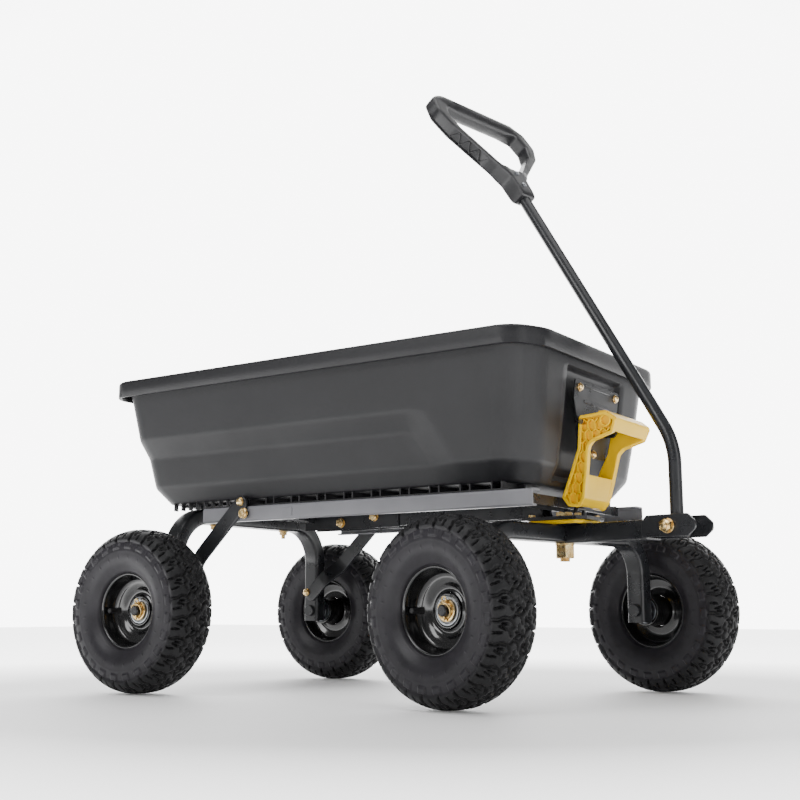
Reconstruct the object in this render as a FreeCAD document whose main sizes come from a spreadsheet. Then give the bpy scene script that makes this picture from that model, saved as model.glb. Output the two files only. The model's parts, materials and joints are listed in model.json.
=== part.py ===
import FreeCAD, Part
import math
import os
import re
import Sketcher
from FreeCAD import Placement, Rotation, Vector

# Four-wheeled garden dump cart.  +X is the pulling direction, +Y the left side, +Z up.
# The origin is on the ground under the middle of the cart.  Sketches and primitives of the
# chassis and the bed measure X from the rear axle, those of the front axle measure it from
# the kingpin, and each sub-part's Placement puts it in its place.

DRIVING = {
    "rear_axle_x": -370.0, "wheelbase": 630.0, "track": 520.0, "axle_height": 130.0,
    "steer_angle": -10.5, "handle_lean": 31.6,
    # wheels
    "wheel_diameter": 260.0, "tyre_width": 90.0, "flange_radius": 59.3, "rim_width": 60.0,
    "seat_radius": 52.0, "hub_radius": 24.0, "bearing_radius": 20.0, "bearing_length": 11.0,
    "hub_out": 4.0, "hub_in": 50.0, "axle_radius": 7.95, "running_gap": 0.05,
    # bed
    "rim_top": 520.0, "rim_half": 240.0, "rim_front": 703.0, "rim_rear": -120.0,
    "rim_depth": 28.0, "poly_wall": 4.0, "floor_bottom": 308.0, "rib_bottom": 296.0,
    "rail_rear": 64.0, "rail_front": 677.0, "rail_half": 190.0, "rail_top": 296.0,
    "rail_height": 24.0, "rail_flange": 24.0, "sheet_steel": 2.5,
    "bed_pivot_x": 158.0, "bed_pivot_z": 284.0, "pivot_rod_radius": 6.0,
    # bent axle tubes
    "tube_width": 31.0, "tube_thick": 26.0, "tube_wall": 2.5,
    "rear_arch_z": 290.0, "rear_leg_y": 190.0, "rear_bend": 71.0,
    "front_arch_z": 243.5, "front_leg_y": 195.0, "front_bend": 57.0, "leg_bottom": 111.0,
    "brace_width": 26.0, "brace_thick": 5.0,
    # spine
    "spine_rear": 142.0, "spine_seam": 337.0, "spine_front": 600.0, "spine_bottom": 266.0,
    "spine_top": 292.0, "spine_half": 17.0, "wear_plate": 5.7, "pivot_plate": 5.0,
    "kingpin_radius": 8.0,
    # tongue and pull handle
    "tongue_top": 257.0, "tongue_height": 28.0, "tongue_half": 20.0, "ear_rear": 153.0,
    "ear_front": 239.0, "clevis_x": 196.0, "clevis_z": 246.0, "ear_gap": 21.0,
    "handle_radius": 9.5, "handle_rise": 178.0, "handle_bend": 90.0, "handle_length": 475.0,
    "grip_neck": 430.0, "grip_top": 645.0, "grip_half": 124.0, "grip_thick": 30.0,
    # release handle
    "release_x": 680.0, "release_pin_x": 694.0, "release_z": 402.0, "release_half_top": 66.0,
    "release_half_low": 44.0, "release_wall": 5.0,
}

doc = FreeCAD.newDocument("garden_cart")
sheet = doc.addObject("Spreadsheet::Sheet", "dims")
for row, (alias, number) in enumerate(DRIVING.items(), start=1):
    sheet.set(f"A{row}", alias)
    sheet.set(f"B{row}", str(number))
    sheet.setAlias(f"B{row}", alias)
doc.recompute()

NODES = {}


def expression(text):
    """Write the aliases in a formula as references to the dimension sheet."""
    return re.sub(r"[a-z][a-z_]+", lambda m: "dims." + m[0] if m[0] in DRIVING else m[0], str(text))


def value(text):
    return float(sheet.evalExpression(expression(text)))


def bind(item, **sizes):
    for name, text in sizes.items():
        item.setExpression(name.replace("__", "."), expression(text))


def move(item, x=0, y=0, z=0, turn=None):
    """Set where an operand stands, with its X, Y and Z bound to the sheet."""
    item.Placement = Placement(Vector(value(x), value(y), value(z)), turn or Rotation())
    bind(item, Placement__Base__x=x, Placement__Base__y=y, Placement__Base__z=z)
    return item


# ---------------------------------------------------------------- frames of the moving groups
STEERED = Rotation(Vector(0, 0, 1), value("steer_angle"))
CHASSIS = Placement(Vector(value("rear_axle_x"), 0, 0), Rotation())
FRONT = Placement(Vector(value("rear_axle_x + wheelbase"), 0, 0), STEERED)
HANDLE = FRONT.multiply(Placement(Vector(value("clevis_x"), 0, value("clevis_z")), Rotation()))


def finish(node, item, frame=CHASSIS):
    item.Label = node
    place = frame.multiply(item.Placement)
    for axis in "xyz":
        item.setExpression("Placement.Base." + axis, None)
    item.Placement = place
    NODES[node] = item
    return item


# ---------------------------------------------------------------- building blocks
TURN = {
    "x": Rotation(Vector(0, 1, 0), 90),
    "y": Rotation(Vector(1, 0, 0), -90),
    "z": Rotation(),
}


def box(name, size, low):
    """Part::Box from its three sizes and its lowest corner."""
    item = doc.addObject("Part::Box", name)
    bind(item, Length=size[0], Width=size[1], Height=size[2])
    return move(item, *low)


def rod(name, radius, length, start, along="z"):
    item = doc.addObject("Part::Cylinder", name)
    bind(item, Radius=radius, Height=length)
    return move(item, *start, TURN[along])


def hexagon(name, across, length, start, along="z"):
    item = doc.addObject("Part::Prism", name)
    item.Polygon = 6
    bind(item, Circumradius=f"({across}) / 1.732", Height=length)
    return move(item, *start, TURN[along])


def join(name, items):
    item = doc.addObject("Part::MultiFuse", name)
    item.Shapes = items
    return item


def cut(name, base, tools):
    tool = tools[0] if len(tools) == 1 else join(name + "_tools", tools)
    item = doc.addObject("Part::Cut", name)
    item.Base = base
    item.Tool = tool
    return item


def group(name, items):
    """Separate solids that share one node."""
    item = doc.addObject("Part::Compound", name)
    item.Links = items
    return item


def ring(name, outer, inner, length, start, along="z"):
    """A washer, bush or nut blank: an outer cylinder with a bore."""
    return cut(name, rod(name + "_out", outer, length, start, along),
               [rod(name + "_bore", inner, length, start, along)])


def nut(name, across, bore, length, start, along="z"):
    return cut(name, hexagon(name + "_hex", across, length, start, along),
               [rod(name + "_bore", bore, length, start, along)])


def origin_plane(body, role):
    return [plane for plane in body.Origin.OriginFeatures if plane.Role == role][0]


def outline(body, role, points, arcs=None):
    """A closed sketch whose corners are bound to the sheet.

    points are pairs of formulas.  arcs maps the number of a side to the radius of the arc
    that replaces it; a positive radius has its centre on the left of the way round.
    """
    sketch = body.newObject("Sketcher::SketchObject", body.Name + "_sketch")
    sketch.AttachmentSupport = (origin_plane(body, role), [""])
    sketch.MapMode = "FlatFace"
    corners = [Vector(value(a), value(b), 0) for a, b in points]
    count = len(corners)
    ends = []
    for side in range(count):
        start, stop = corners[side], corners[(side + 1) % count]
        if not arcs or side not in arcs:
            sketch.addGeometry(Part.LineSegment(start, stop))
            ends.append((1, 2))
            continue
        radius = value(arcs[side])
        half = (stop - start) * 0.5
        left = Vector(-half.y, half.x, 0).normalize()
        reach = math.sqrt(radius ** 2 - half.Length ** 2)
        centre = start + half + left * (reach if radius > 0 else -reach)
        angles = [math.atan2(p.y - centre.y, p.x - centre.x) for p in (start, stop)]
        if radius < 0:
            angles.reverse()
        circle = Part.Circle(centre, Vector(0, 0, 1), abs(radius))
        sketch.addGeometry(Part.ArcOfCircle(circle, angles[0], angles[1]))
        ends.append((1, 2) if radius > 0 else (2, 1))
    for side in range(count):
        following = (side + 1) % count
        sketch.addConstraint(
            Sketcher.Constraint("Coincident", side, ends[side][1], following, ends[following][0]))
    for side, pair in enumerate(points):
        for axis, text in zip("XY", pair):
            number = sketch.addConstraint(
                Sketcher.Constraint("Distance" + axis, -1, 1, side, ends[side][0], value(text)))
            sketch.renameConstraint(number, f"corner{side}{axis}")
            sketch.setExpression(f"Constraints.corner{side}{axis}", expression(text))
    for side, radius in (arcs or {}).items():
        number = sketch.addConstraint(Sketcher.Constraint("Radius", side, abs(value(radius))))
        sketch.renameConstraint(number, f"arc{side}")
        sketch.setExpression(f"Constraints.arc{side}", expression(f"abs({radius})"))
    return sketch


def prism(name, role, points, length, arcs=None, middle=True):
    """A body padded from an outline, from the middle both ways unless told otherwise."""
    body = doc.addObject("PartDesign::Body", name)
    sketch = outline(body, role, points, arcs)
    pad = body.newObject("PartDesign::Pad", name + "_pad")
    pad.Profile = sketch
    bind(pad, Length=length)
    if middle:
        pad.SideType = "Symmetric"
    return body


def lathe(name, points, arcs=None):
    """A body turned about Y from an outline of (radius, y) pairs."""
    body = doc.addObject("PartDesign::Body", name)
    sketch = outline(body, "XY_Plane", points, arcs)
    turned = body.newObject("PartDesign::Revolution", name + "_turned")
    turned.Profile = sketch
    turned.ReferenceAxis = (sketch, ["V_Axis"])
    turned.Angle = 360
    return body


def rounded_wire(points, radii, closed=True):
    """A wire through the points with tangent arcs of the given radii at its corners."""
    count = len(points)
    edges, starts, stops = [], {}, {}
    for i, (corner, radius) in enumerate(zip(points, radii)):
        before, after = points[i - 1], points[(i + 1) % count]
        if radius == 0 or (not closed and i in (0, count - 1)):
            starts[i] = stops[i] = corner
            continue
        inward = (before - corner).normalize()
        outward = (after - corner).normalize()
        half = inward.getAngle(outward) / 2
        reach = radius / math.tan(half)
        starts[i] = corner + inward * reach
        stops[i] = corner + outward * reach
        bisector = (inward + outward).normalize()
        middle = corner + bisector * (radius / math.sin(half) - radius)
        edges.append((i, Part.Arc(starts[i], middle, stops[i]).toShape()))
    arcs = dict(edges)
    ordered = []
    for i in range(count):
        if i in arcs:
            ordered.append(arcs[i])
        if closed or i < count - 1:
            ordered.append(Part.LineSegment(stops[i], starts[(i + 1) % count]).toShape())
    return Part.Wire(ordered)


def swept(path, profile):
    pipe = Part.BRepOffsetAPI.MakePipeShell(path)
    pipe.add(profile)
    pipe.setTransitionMode(1)
    pipe.build()
    pipe.makeSolid()
    return pipe.shape()


def shaped(name, shape):
    item = doc.addObject("Part::Feature", name)
    item.Shape = shape
    return item


# ---------------------------------------------------------------- wheels
def wheel(side, end, frame):
    """Tyre, rim, bearings and valve of one wheel; its outer side faces +Y in its frame."""
    tag = f"{end}_{side}"
    out = Rotation() if side == "left" else Rotation(Vector(0, 0, 1), 180)
    along = "track / 2" if side == "left" else "-track / 2"
    hub = frame.multiply(Placement(Vector(0, value(along), value("axle_height")), out))

    half = "rim_width / 2"
    seat, flange = "seat_radius + 0.2", "flange_radius"
    tread, wide = "wheel_diameter / 2", "tyre_width / 2"
    barrel = [
        (flange, half), (flange, f"{half} - 2.4"), (seat, f"{half} - 4.5"), (seat, "9"),
        ("seat_radius - 8", "4.5"), ("seat_radius - 8", "-4.5"), (seat, "-9"),
        (seat, f"4.5 - {half}"), (flange, f"2.4 - {half}"), (flange, f"-{half}"),
        (f"{flange} - 2.5", f"-{half}"), ("seat_radius - 2.2", f"2.2 - {half}"),
        ("seat_radius - 2.2", "-10.4"), ("seat_radius - 10.5", "-6"),
        ("seat_radius - 10.5", "-1.5"), ("hub_radius", "-4"), ("hub_radius", "-hub_in"),
        ("bearing_radius", "-hub_in"), ("bearing_radius", "hub_out"),
        ("hub_radius", "hub_out"), ("hub_radius", "1.5"), ("seat_radius - 10.5", "1.5"),
        ("seat_radius - 10.5", "6"), ("seat_radius - 2.2", "10.4"),
        ("seat_radius - 2.2", f"{half} - 2.2"), (f"{flange} - 2.5", half),
    ]
    finish("rim_" + tag, lathe("Rim_" + tag, barrel), hub)

    casing = [
        (f"{seat} + 0.05", f"{half} - 4.7"), ("flange_radius + 0.1", f"{half} - 2.55"),
        ("flange_radius + 2", f"{half} + 1.5"), (f"{tread} - 12", f"{wide} - 8"),
        (f"{tread} - 12", f"8 - {wide}"), ("flange_radius + 2", f"-{half} - 1.5"),
        ("flange_radius + 0.1", f"2.55 - {half}"), (f"{seat} + 0.05", f"4.7 - {half}"),
        (f"{seat} + 0.05", f"13 - {half}"), (f"{seat} + 9", f"8 - {half}"),
        (f"{tread} - 19", f"15 - {wide}"), (f"{tread} - 19", f"{wide} - 15"),
        (f"{seat} + 9", f"{half} - 8"), (f"{seat} + 0.05", f"{half} - 13"),
    ]
    rounds = {2: "-45", 3: "-62.75", 4: "-45", 9: "31", 10: "60", 11: "31"}
    finish("tyre_" + tag, lathe("Tyre_" + tag, casing, rounds), hub)

    bore = "axle_radius + running_gap"
    bearings = group("Bearings_" + tag, [
        ring(f"Bearing_{tag}_{name}", "bearing_radius", bore, "bearing_length", (0, start, 0), "y")
        for name, start in (("outer", "hub_out - bearing_length"), ("inner", "-hub_in"))])
    finish("bearings_" + tag, bearings, hub)

    finish("valve_" + tag, join("Valve_" + tag, [
        rod(f"Valve_{tag}_stem", 3.2, 19, ("seat_radius - 6", 5, 0), "y"),
        rod(f"Valve_{tag}_cap", 4, 9, ("seat_radius - 6", 17, 0), "y")]), hub)


for side in ("left", "right"):
    wheel(side, "rear", CHASSIS)
    wheel(side, "front", FRONT)


# ---------------------------------------------------------------- bent axle tubes and stub axles
def arch(node, height, leg, bend, frame, holes):
    """A rectangular tube bent into an arch across the cart, open at the ends of its legs."""
    z, y, low = value(height), value(leg), value("leg_bottom")
    way = [Vector(0, -y, low), Vector(0, -y, z), Vector(0, y, z), Vector(0, y, low)]
    path = rounded_wire(way, [0, value(bend), value(bend), 0], closed=False)

    def section(trim):
        wide, thick = value("tube_width") / 2 - trim, value("tube_thick") / 2 - trim
        corners = [Vector(-wide, -y - thick, low), Vector(wide, -y - thick, low),
                   Vector(wide, -y + thick, low), Vector(-wide, -y + thick, low)]
        return rounded_wire(corners, [4 - trim] * 4)

    outside = shaped(node + "_outside", swept(path, section(0)))
    inside = shaped(node + "_inside", swept(path, section(value("tube_wall"))))
    bores = [rod(node + "_axle_hole", "axle_radius + 0.05", "track", (0, "-track / 2", "axle_height"),
                 "y")] + holes
    finish(node, cut(node + "_tube", outside, [inside] + bores), frame)


def axles(end, leg, frame):
    """Stub axles with collar, head, washer and cotter pin, one of each on each side."""
    washers, cotters = [], []
    for side, sign in (("left", 1), ("right", -1)):
        turn = Rotation(Vector(1, 0, 0), -90 * sign)

        def stub(name, radius, length, y, maker="Part::Cylinder"):
            item = doc.addObject(maker, f"{name}_{end}_{side}")
            bind(item, Radius=radius, Height=length)
            return move(item, 0, f"{sign} * ({y})", "axle_height", turn)

        inner = f"({leg} - tube_thick / 2)"
        outer = f"({leg} + tube_thick / 2)"
        hub_face = "track / 2 - hub_in"
        hub_end = "track / 2 + hub_out"
        shaft = join(f"Shaft_{end}_{side}", [
            stub("Pin", "axle_radius", f"{hub_end} + 12 - {inner} + 6", f"{inner} - 6"),
            stub("Head", 10, 6, f"{inner} - 6.3"),
            stub("Collar", 12.5, f"{hub_face} - {outer} - 0.6", f"{outer} + 0.3")])
        drilled = cut(f"Drilled_{end}_{side}", shaft, [
            rod(f"Pin_hole_{end}_{side}", 1.8, 30, (0, f"{sign} * ({hub_end} + 6)", "axle_height - 15"))])
        finish(f"axle_{end}_{side}", drilled, frame)

        bore = stub("Washer_bore", "axle_radius", 2, f"{hub_end} + 0.4")
        washers.append(cut(f"Washer_{end}_{side}",
                           stub("Washer_out", 15, 2, f"{hub_end} + 0.4"), [bore]))
        cotters.append(rod(f"Cotter_{end}_{side}", 1.7, 30,
                           (0, f"{sign} * ({hub_end} + 6)", "axle_height - 15")))
    finish(f"axle_washers_{end}", group(f"Washers_{end}", washers), frame)
    finish(f"cotter_pins_{end}", group(f"Cotters_{end}", cotters), frame)


arch_bolt_y = 93
rear_holes = [rod(f"Arch_hole_{i}", 4, 60, (0, y, "rear_arch_z - 30"))
              for i, y in enumerate((-arch_bolt_y, arch_bolt_y))]
arch("rear_axle_arch", "rear_arch_z", "rear_leg_y", "rear_bend", CHASSIS, rear_holes)
arch("front_axle_arch", "front_arch_z", "front_leg_y", "front_bend", FRONT,
     [rod("Kingpin_hole", "kingpin_radius + running_gap", 60, (0, 0, "front_arch_z - 30"))])
axles("rear", "rear_leg_y", CHASSIS)
axles("front", "front_leg_y", FRONT)


# ---------------------------------------------------------------- spine and steering pivot
def channel(half, bottom, top, wall):
    """Section of an open-bottomed channel along X, as corners in the YZ plane."""
    return [
        (f"-({half})", bottom), (f"{wall} - ({half})", bottom),
        (f"{wall} - ({half})", f"({top}) - {wall}"), (f"({half}) - {wall}", f"({top}) - {wall}"),
        (f"({half}) - {wall}", bottom), (half, bottom), (half, top), (f"-({half})", top)]


spine_bolts = ((220, 277), (289, 285))
pivot_hole = rod("Spine_pivot_hole", "pivot_rod_radius + running_gap", 60,
                 ("bed_pivot_x", -30, "bed_pivot_z"), "y")
outer_spine = prism("Spine_outer", "YZ_Plane",
                    channel("spine_half", "spine_bottom", "spine_top", "sheet_steel"),
                    "spine_seam - spine_rear", middle=False)
move(outer_spine, "spine_rear")
outer_holes = [rod(f"Spine_outer_hole_{i}", 4, 60, (x, -30, z), "y")
               for i, (x, z) in enumerate(spine_bolts)]
finish("spine_rear_channel", cut("Spine_rear", outer_spine, [pivot_hole] + outer_holes))

inner_spine = prism("Spine_inner", "YZ_Plane",
                    channel("spine_half - sheet_steel - 0.3",
                            "spine_bottom + sheet_steel - 0.2",
                            "spine_top - sheet_steel - 0.3", "sheet_steel"),
                    "spine_front - 190", middle=False)
move(inner_spine, 190)
inner_holes = [rod(f"Spine_inner_hole_{i}", 4, 60, (x, -30, z), "y")
               for i, (x, z) in enumerate(spine_bolts)]
finish("spine_front_channel", cut("Spine_front", inner_spine, inner_holes))

spine_bolt_solids = []
for i, (x, z) in enumerate(spine_bolts):
    spine_bolt_solids.append(join(f"Spine_bolt_{i}", [
        rod(f"Spine_bolt_{i}_shank", 4, "2 * spine_half + 12", (x, "-spine_half - 8", z), "y"),
        hexagon(f"Spine_bolt_{i}_head", 13, 5, (x, "spine_half", z), "y"),
        hexagon(f"Spine_bolt_{i}_nut", 13, 6.5, (x, "-spine_half - 6.5", z), "y")]))
finish("spine_bolts", group("Spine_bolts", spine_bolt_solids))

plate_low = "tongue_top + 0.3 + wear_plate + 0.3"
plate_corners = [("wheelbase - 62", -30), ("wheelbase - 50", -42), ("wheelbase + 40", -42),
                 ("wheelbase + 52", -30), ("wheelbase + 52", 30), ("wheelbase + 40", 42),
                 ("wheelbase - 50", 42), ("wheelbase - 62", 30)]
pivot_plate = prism("Pivot_plate", "XY_Plane", plate_corners, "pivot_plate", middle=False)
move(pivot_plate, 0, 0, plate_low)
king_hole = rod("Plate_king_hole", "kingpin_radius", 30, ("wheelbase", 0, "spine_bottom - 15"))
gusset = prism("Pivot_gusset", "XZ_Plane", [
    ("wheelbase - 62", f"{plate_low} + pivot_plate"), ("wheelbase - 26", f"{plate_low} + pivot_plate"),
    ("wheelbase - 32", f"{plate_low} + pivot_plate + 18"),
    ("wheelbase - 62", f"{plate_low} + pivot_plate + 18")], 3)
gussets = []
for sign in (-1, 1):
    side_plate = doc.addObject("Part::Mirroring", f"Gusset_{'left' if sign > 0 else 'right'}")
    side_plate.Source = gusset
    side_plate.Normal = Vector(0, 1, 0)
    move(side_plate, 0, f"{sign} * (spine_half - 1.3)")
    gussets.append(side_plate)
finish("steering_pivot_plate",
       cut("Pivot_plate_whole", join("Pivot_plate_welded", [pivot_plate] + gussets), [king_hole]))

wear_corners = [("wheelbase - 46", -30), ("wheelbase - 36", -40), ("wheelbase + 36", -40),
                ("wheelbase + 46", -30), ("wheelbase + 46", 30), ("wheelbase + 36", 40),
                ("wheelbase - 36", 40), ("wheelbase - 46", 30)]
wear = prism("Wear_plate", "XY_Plane", wear_corners, "wear_plate", middle=False)
move(wear, 0, 0, "tongue_top + 0.3")
finish("steering_wear_plate", cut("Wear_plate_bored", wear, [
    rod("Wear_king_hole", "kingpin_radius", 30, ("wheelbase", 0, "spine_bottom - 15"))]))

finish("kingpin_bolt", join("Kingpin", [
    rod("Kingpin_shank", "kingpin_radius", "spine_bottom + 6 - 203", ("wheelbase", 0, 203)),
    hexagon("Kingpin_head", 24, 9, ("wheelbase", 0, f"{plate_low} + pivot_plate"))]))
finish("kingpin_nut_and_washer", group("King_nut_set", [
    ring("King_washer", 14.5, "kingpin_radius", 3,
         ("wheelbase", 0, "front_arch_z - tube_thick / 2 - 3.3")),
    nut("King_nut", 27, "kingpin_radius", 20,
        ("wheelbase", 0, "front_arch_z - tube_thick / 2 - 23.3"))]))

plate_bolts = []
for i, (x, y) in enumerate(((-38, -32), (-38, 32), (38, -32), (38, 32))):
    plate_bolts.append(join(f"Plate_bolt_{i}", [
        rod(f"Plate_bolt_{i}_shank", 3, 4, (f"wheelbase + {x}", y, f"{plate_low} + pivot_plate")),
        hexagon(f"Plate_bolt_{i}_head", 10, 4, (f"wheelbase + {x}", y, f"{plate_low} + pivot_plate"))]))
finish("wear_plate_bolts", group("Plate_bolts", plate_bolts))

# The striker is a bent rod that stands on the pivot plate like a staple.
striker_x, striker_foot = value("wheelbase") + 26, value(f"{plate_low} + pivot_plate")
striker_path = [Vector(striker_x, -14, striker_foot), Vector(striker_x, -14, striker_foot + 13),
                Vector(striker_x, 14, striker_foot + 13), Vector(striker_x, 14, striker_foot)]
striker_end = Part.Wire(Part.Circle(striker_path[0], Vector(0, 0, 1), 3.4).toShape())
finish("latch_striker", shaped("Striker", swept(rounded_wire(striker_path, [0, 6, 6, 0], closed=False),
                                                striker_end)))


# ---------------------------------------------------------------- bed frame
def side_rail(side):
    sign = 1 if side == "left" else -1
    out, top = f"{sign} * rail_half", "rail_top"
    wall = "sheet_steel"
    section = [
        (out, f"{top} - rail_height"), (out, top),
        (f"{sign} * (rail_half - rail_flange)", top),
        (f"{sign} * (rail_half - rail_flange)", f"{top} - {wall}"),
        (f"{sign} * (rail_half - {wall})", f"{top} - {wall}"),
        (f"{sign} * (rail_half - {wall})", f"{top} - rail_height + {wall}"),
        (f"{sign} * (rail_half - 12)", f"{top} - rail_height + {wall}"),
        (f"{sign} * (rail_half - 12)", f"{top} - rail_height")]
    rail = prism("Rail_" + side, "YZ_Plane", section, "rail_front - rail_rear", middle=False)
    move(rail, "rail_rear")
    holes = [rod(f"Rail_{side}_pivot_hole", "pivot_rod_radius", 30,
                 ("bed_pivot_x", f"{out} - 15", "bed_pivot_z"), "y")]
    holes += [rod(f"Rail_{side}_tub_hole_{i}", 3, 20, (x, f"{sign} * 176", f"{top} - 10"))
              for i, x in enumerate(TUB_BOLT_X)]
    finish("side_rail_" + side, cut("Rail_cut_" + side, rail, holes))


TUB_BOLT_X = (90, 330, 560)
for side in ("left", "right"):
    side_rail(side)

cross = prism("Cross_front", "XZ_Plane", [
    ("wheelbase - 25", 281), ("wheelbase - 22.5", 281), ("wheelbase - 22.5", 293),
    ("wheelbase + 12.5", 293), ("wheelbase + 12.5", 281), ("wheelbase + 15", 281),
    ("wheelbase + 15", 295.5), ("wheelbase - 25", 295.5)], "2 * rail_half - 2 * rail_flange - 1")
finish("front_cross_member", cross)
rear_plate = box("Rear_plate", (112, 310, 4), (-18, -155, 303.4))
finish("rear_mounting_plate", cut("Rear_plate_drilled", rear_plate, [
    rod(f"Rear_plate_hole_{i}", 4, 20, (0, y, 298)) for i, y in enumerate((-arch_bolt_y, arch_bolt_y))]))

arch_bolts = []
for i, y in enumerate((-arch_bolt_y, arch_bolt_y)):
    arch_bolts.append(join(f"Arch_bolt_{i}", [
        rod(f"Arch_bolt_{i}_shank", 4, 46, (0, y, 261.4)),
        hexagon(f"Arch_bolt_{i}_nut", 13, 7, (0, y, "rear_arch_z - tube_thick / 2 - 7")),
        rod(f"Arch_bolt_{i}_washer", 9, 1.6, (0, y, "rear_arch_z - tube_thick / 2 - 1.6"))]))
finish("arch_bolts", group("Arch_bolts", arch_bolts))

finish("bed_pivot_rod", join("Pivot_rod", [
    rod("Pivot_rod_shank", "pivot_rod_radius", "2 * rail_half + 24",
        ("bed_pivot_x", "-rail_half - 12", "bed_pivot_z"), "y"),
    hexagon("Pivot_rod_head_left", 16, 5, ("bed_pivot_x", "rail_half + 5.2", "bed_pivot_z"), "y"),
    hexagon("Pivot_rod_head_right", 16, 5, ("bed_pivot_x", "-rail_half - 10.2", "bed_pivot_z"), "y")]))


def brace(side):
    """Flat bar, joggled from the rail's outer face to the inner face of the axle leg."""
    sign = 1 if side == "left" else -1
    rise, run = 300 - 158, 150 - 2
    length = math.hypot(rise, run)
    angle = math.degrees(math.atan2(rise, run))
    out, leg = "rail_half + 0.2", "rear_leg_y - tube_thick / 2 - brace_thick - 0.2"
    strip = [(-8, leg), (48, leg), (82, out), (length + 12, out), (length + 12, f"{out} + brace_thick"),
             (82, f"{out} + brace_thick"), (48, f"{leg} + brace_thick"), (-8, f"{leg} + brace_thick")]
    if sign < 0:
        strip = [(a, f"-({b})") for a, b in strip]
    bar = prism("Brace_" + side, "XY_Plane", strip, "brace_width")
    bar.Placement = Placement(Vector(2, 0, 158), Rotation(Vector(0, 1, 0), -angle))
    holes = [rod(f"Brace_{side}_pivot", "pivot_rod_radius", 40,
                 ("bed_pivot_x", f"{sign} * rail_half - 20", "bed_pivot_z"), "y")]
    finish("rear_brace_" + side, cut("Brace_cut_" + side, bar, holes))


for side in ("left", "right"):
    brace(side)

brace_bolts = []
for side, sign in (("left", 1), ("right", -1)):
    turn = Rotation(Vector(1, 0, 0), 90 * sign)
    low = doc.addObject("Part::Cylinder", f"Brace_low_{side}")
    bind(low, Radius=7, Height=4)
    move(low, -5, f"{sign} * (rear_leg_y - tube_thick / 2 - brace_thick - 0.2)", 165, turn)
    high = doc.addObject("Part::Cylinder", f"Brace_high_{side}")
    bind(high, Radius=7, Height=4)
    move(high, 150, f"{sign} * (rail_half + 0.2 + brace_thick + 4)", 303, turn)
    brace_bolts += [low, high]
finish("brace_bolts", group("Brace_bolts", brace_bolts))


# ---------------------------------------------------------------- tub
def tub_wire(z, half, front, rear, corner_rear=35):
    """Plan outline at one height: small rear corners and broad two-step front corners."""
    slant, run = 27.0, 54.0
    points = [Vector(rear, -half, z), Vector(front - slant, -half, z), Vector(front, run - half, z),
              Vector(front, half - run, z), Vector(front - slant, half, z), Vector(rear, half, z)]
    return rounded_wire(points, [corner_rear, 45, 70, 70, 45, corner_rear])


rim_top, wall = value("rim_top"), value("poly_wall")
LEVELS = [(value("floor_bottom"), 182, 652, -37), (336, 195, 669, -63), (387, 201, 677, -75),
          (417, 216, 681, -84), (520, 229, 693, -103)]


def tub_body(inset, floor, top):
    """Ruled body through the tub's levels, moved inwards by inset."""
    levels = [(max(z, floor), half - inset, front - inset, rear + inset) for z, half, front, rear in LEVELS]
    last = levels[-1]
    levels[-1] = (top, last[1], last[2], last[3])
    wires = [tub_wire(z, half, front, rear) for z, half, front, rear in levels]
    return Part.makeLoft(wires, True, True)


def straight(wire, height):
    return Part.Face(wire).extrude(Vector(0, 0, height))


rim_low = rim_top - value("rim_depth")
rim_size = (value("rim_half"), value("rim_front"), value("rim_rear"))
rim_ring = straight(tub_wire(rim_low, *rim_size, 40), value("rim_depth"))
rim_under = straight(tub_wire(rim_low - 1, rim_size[0] - wall, rim_size[1] - wall,
                              rim_size[2] + wall, 36), value("rim_depth") + 1 - wall)
tub_shape = tub_body(0, value("floor_bottom"), rim_top).fuse(rim_ring.cut(rim_under))
tub_shape = tub_shape.cut(tub_body(wall, value("floor_bottom") + wall, rim_top + 1))
ribs = []
for sign in (-1, 1):
    for y in (134, 175):
        ribs.append(Part.makeBox(660, 3, 12.5, Vector(-20, sign * y - 1.5, value("rib_bottom") + 0.3)))
    for k in range(12):
        ribs.append(Part.makeBox(3, 41, 12.5, Vector(-14 + 55 * k, sign * 154.5 - 20.5,
                                                    value("rib_bottom") + 0.3)))
clear_arch = Part.makeBox(150, 330, 12, Vector(-30, -165, 296))
tub_shape = tub_shape.fuse([rib.cut(clear_arch) for rib in ribs]).removeSplitter()
finish("tub", shaped("Tub", tub_shape))

tub_bolts = []
for side, sign in (("left", 1), ("right", -1)):
    for i, x in enumerate(TUB_BOLT_X):
        head = hexagon(f"Tub_bolt_{side}_{i}", 10, 4, (x, sign * 176, "rail_top - sheet_steel - 4"))
        tub_bolts.append(head)
finish("tub_bolts", group("Tub_bolts", tub_bolts))


# ---------------------------------------------------------------- dump release
wall_tilt = 6.6
latch_face = prism("Latch_face", "YZ_Plane", [
    (-50, -52), (50, -52), (60, 0), (76, 30), (76, 58), (-76, 58), (-76, 30), (-60, 0)], 3,
    middle=False)
latch_face.Placement = Placement(Vector(682.5, 0, 408), Rotation(Vector(0, 1, 0), wall_tilt))
ears = [box(f"Latch_ear_{i}", (19, 4, 22), ("release_pin_x - 10", y, "release_z - 11"))
        for i, y in enumerate((-44, 40))]
finish("latch_plate", cut("Latch_plate_drilled", join("Latch_plate", [latch_face] + ears), [
    rod("Latch_pin_hole", 4, 140, ("release_pin_x", -70, "release_z"), "y")]))

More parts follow.
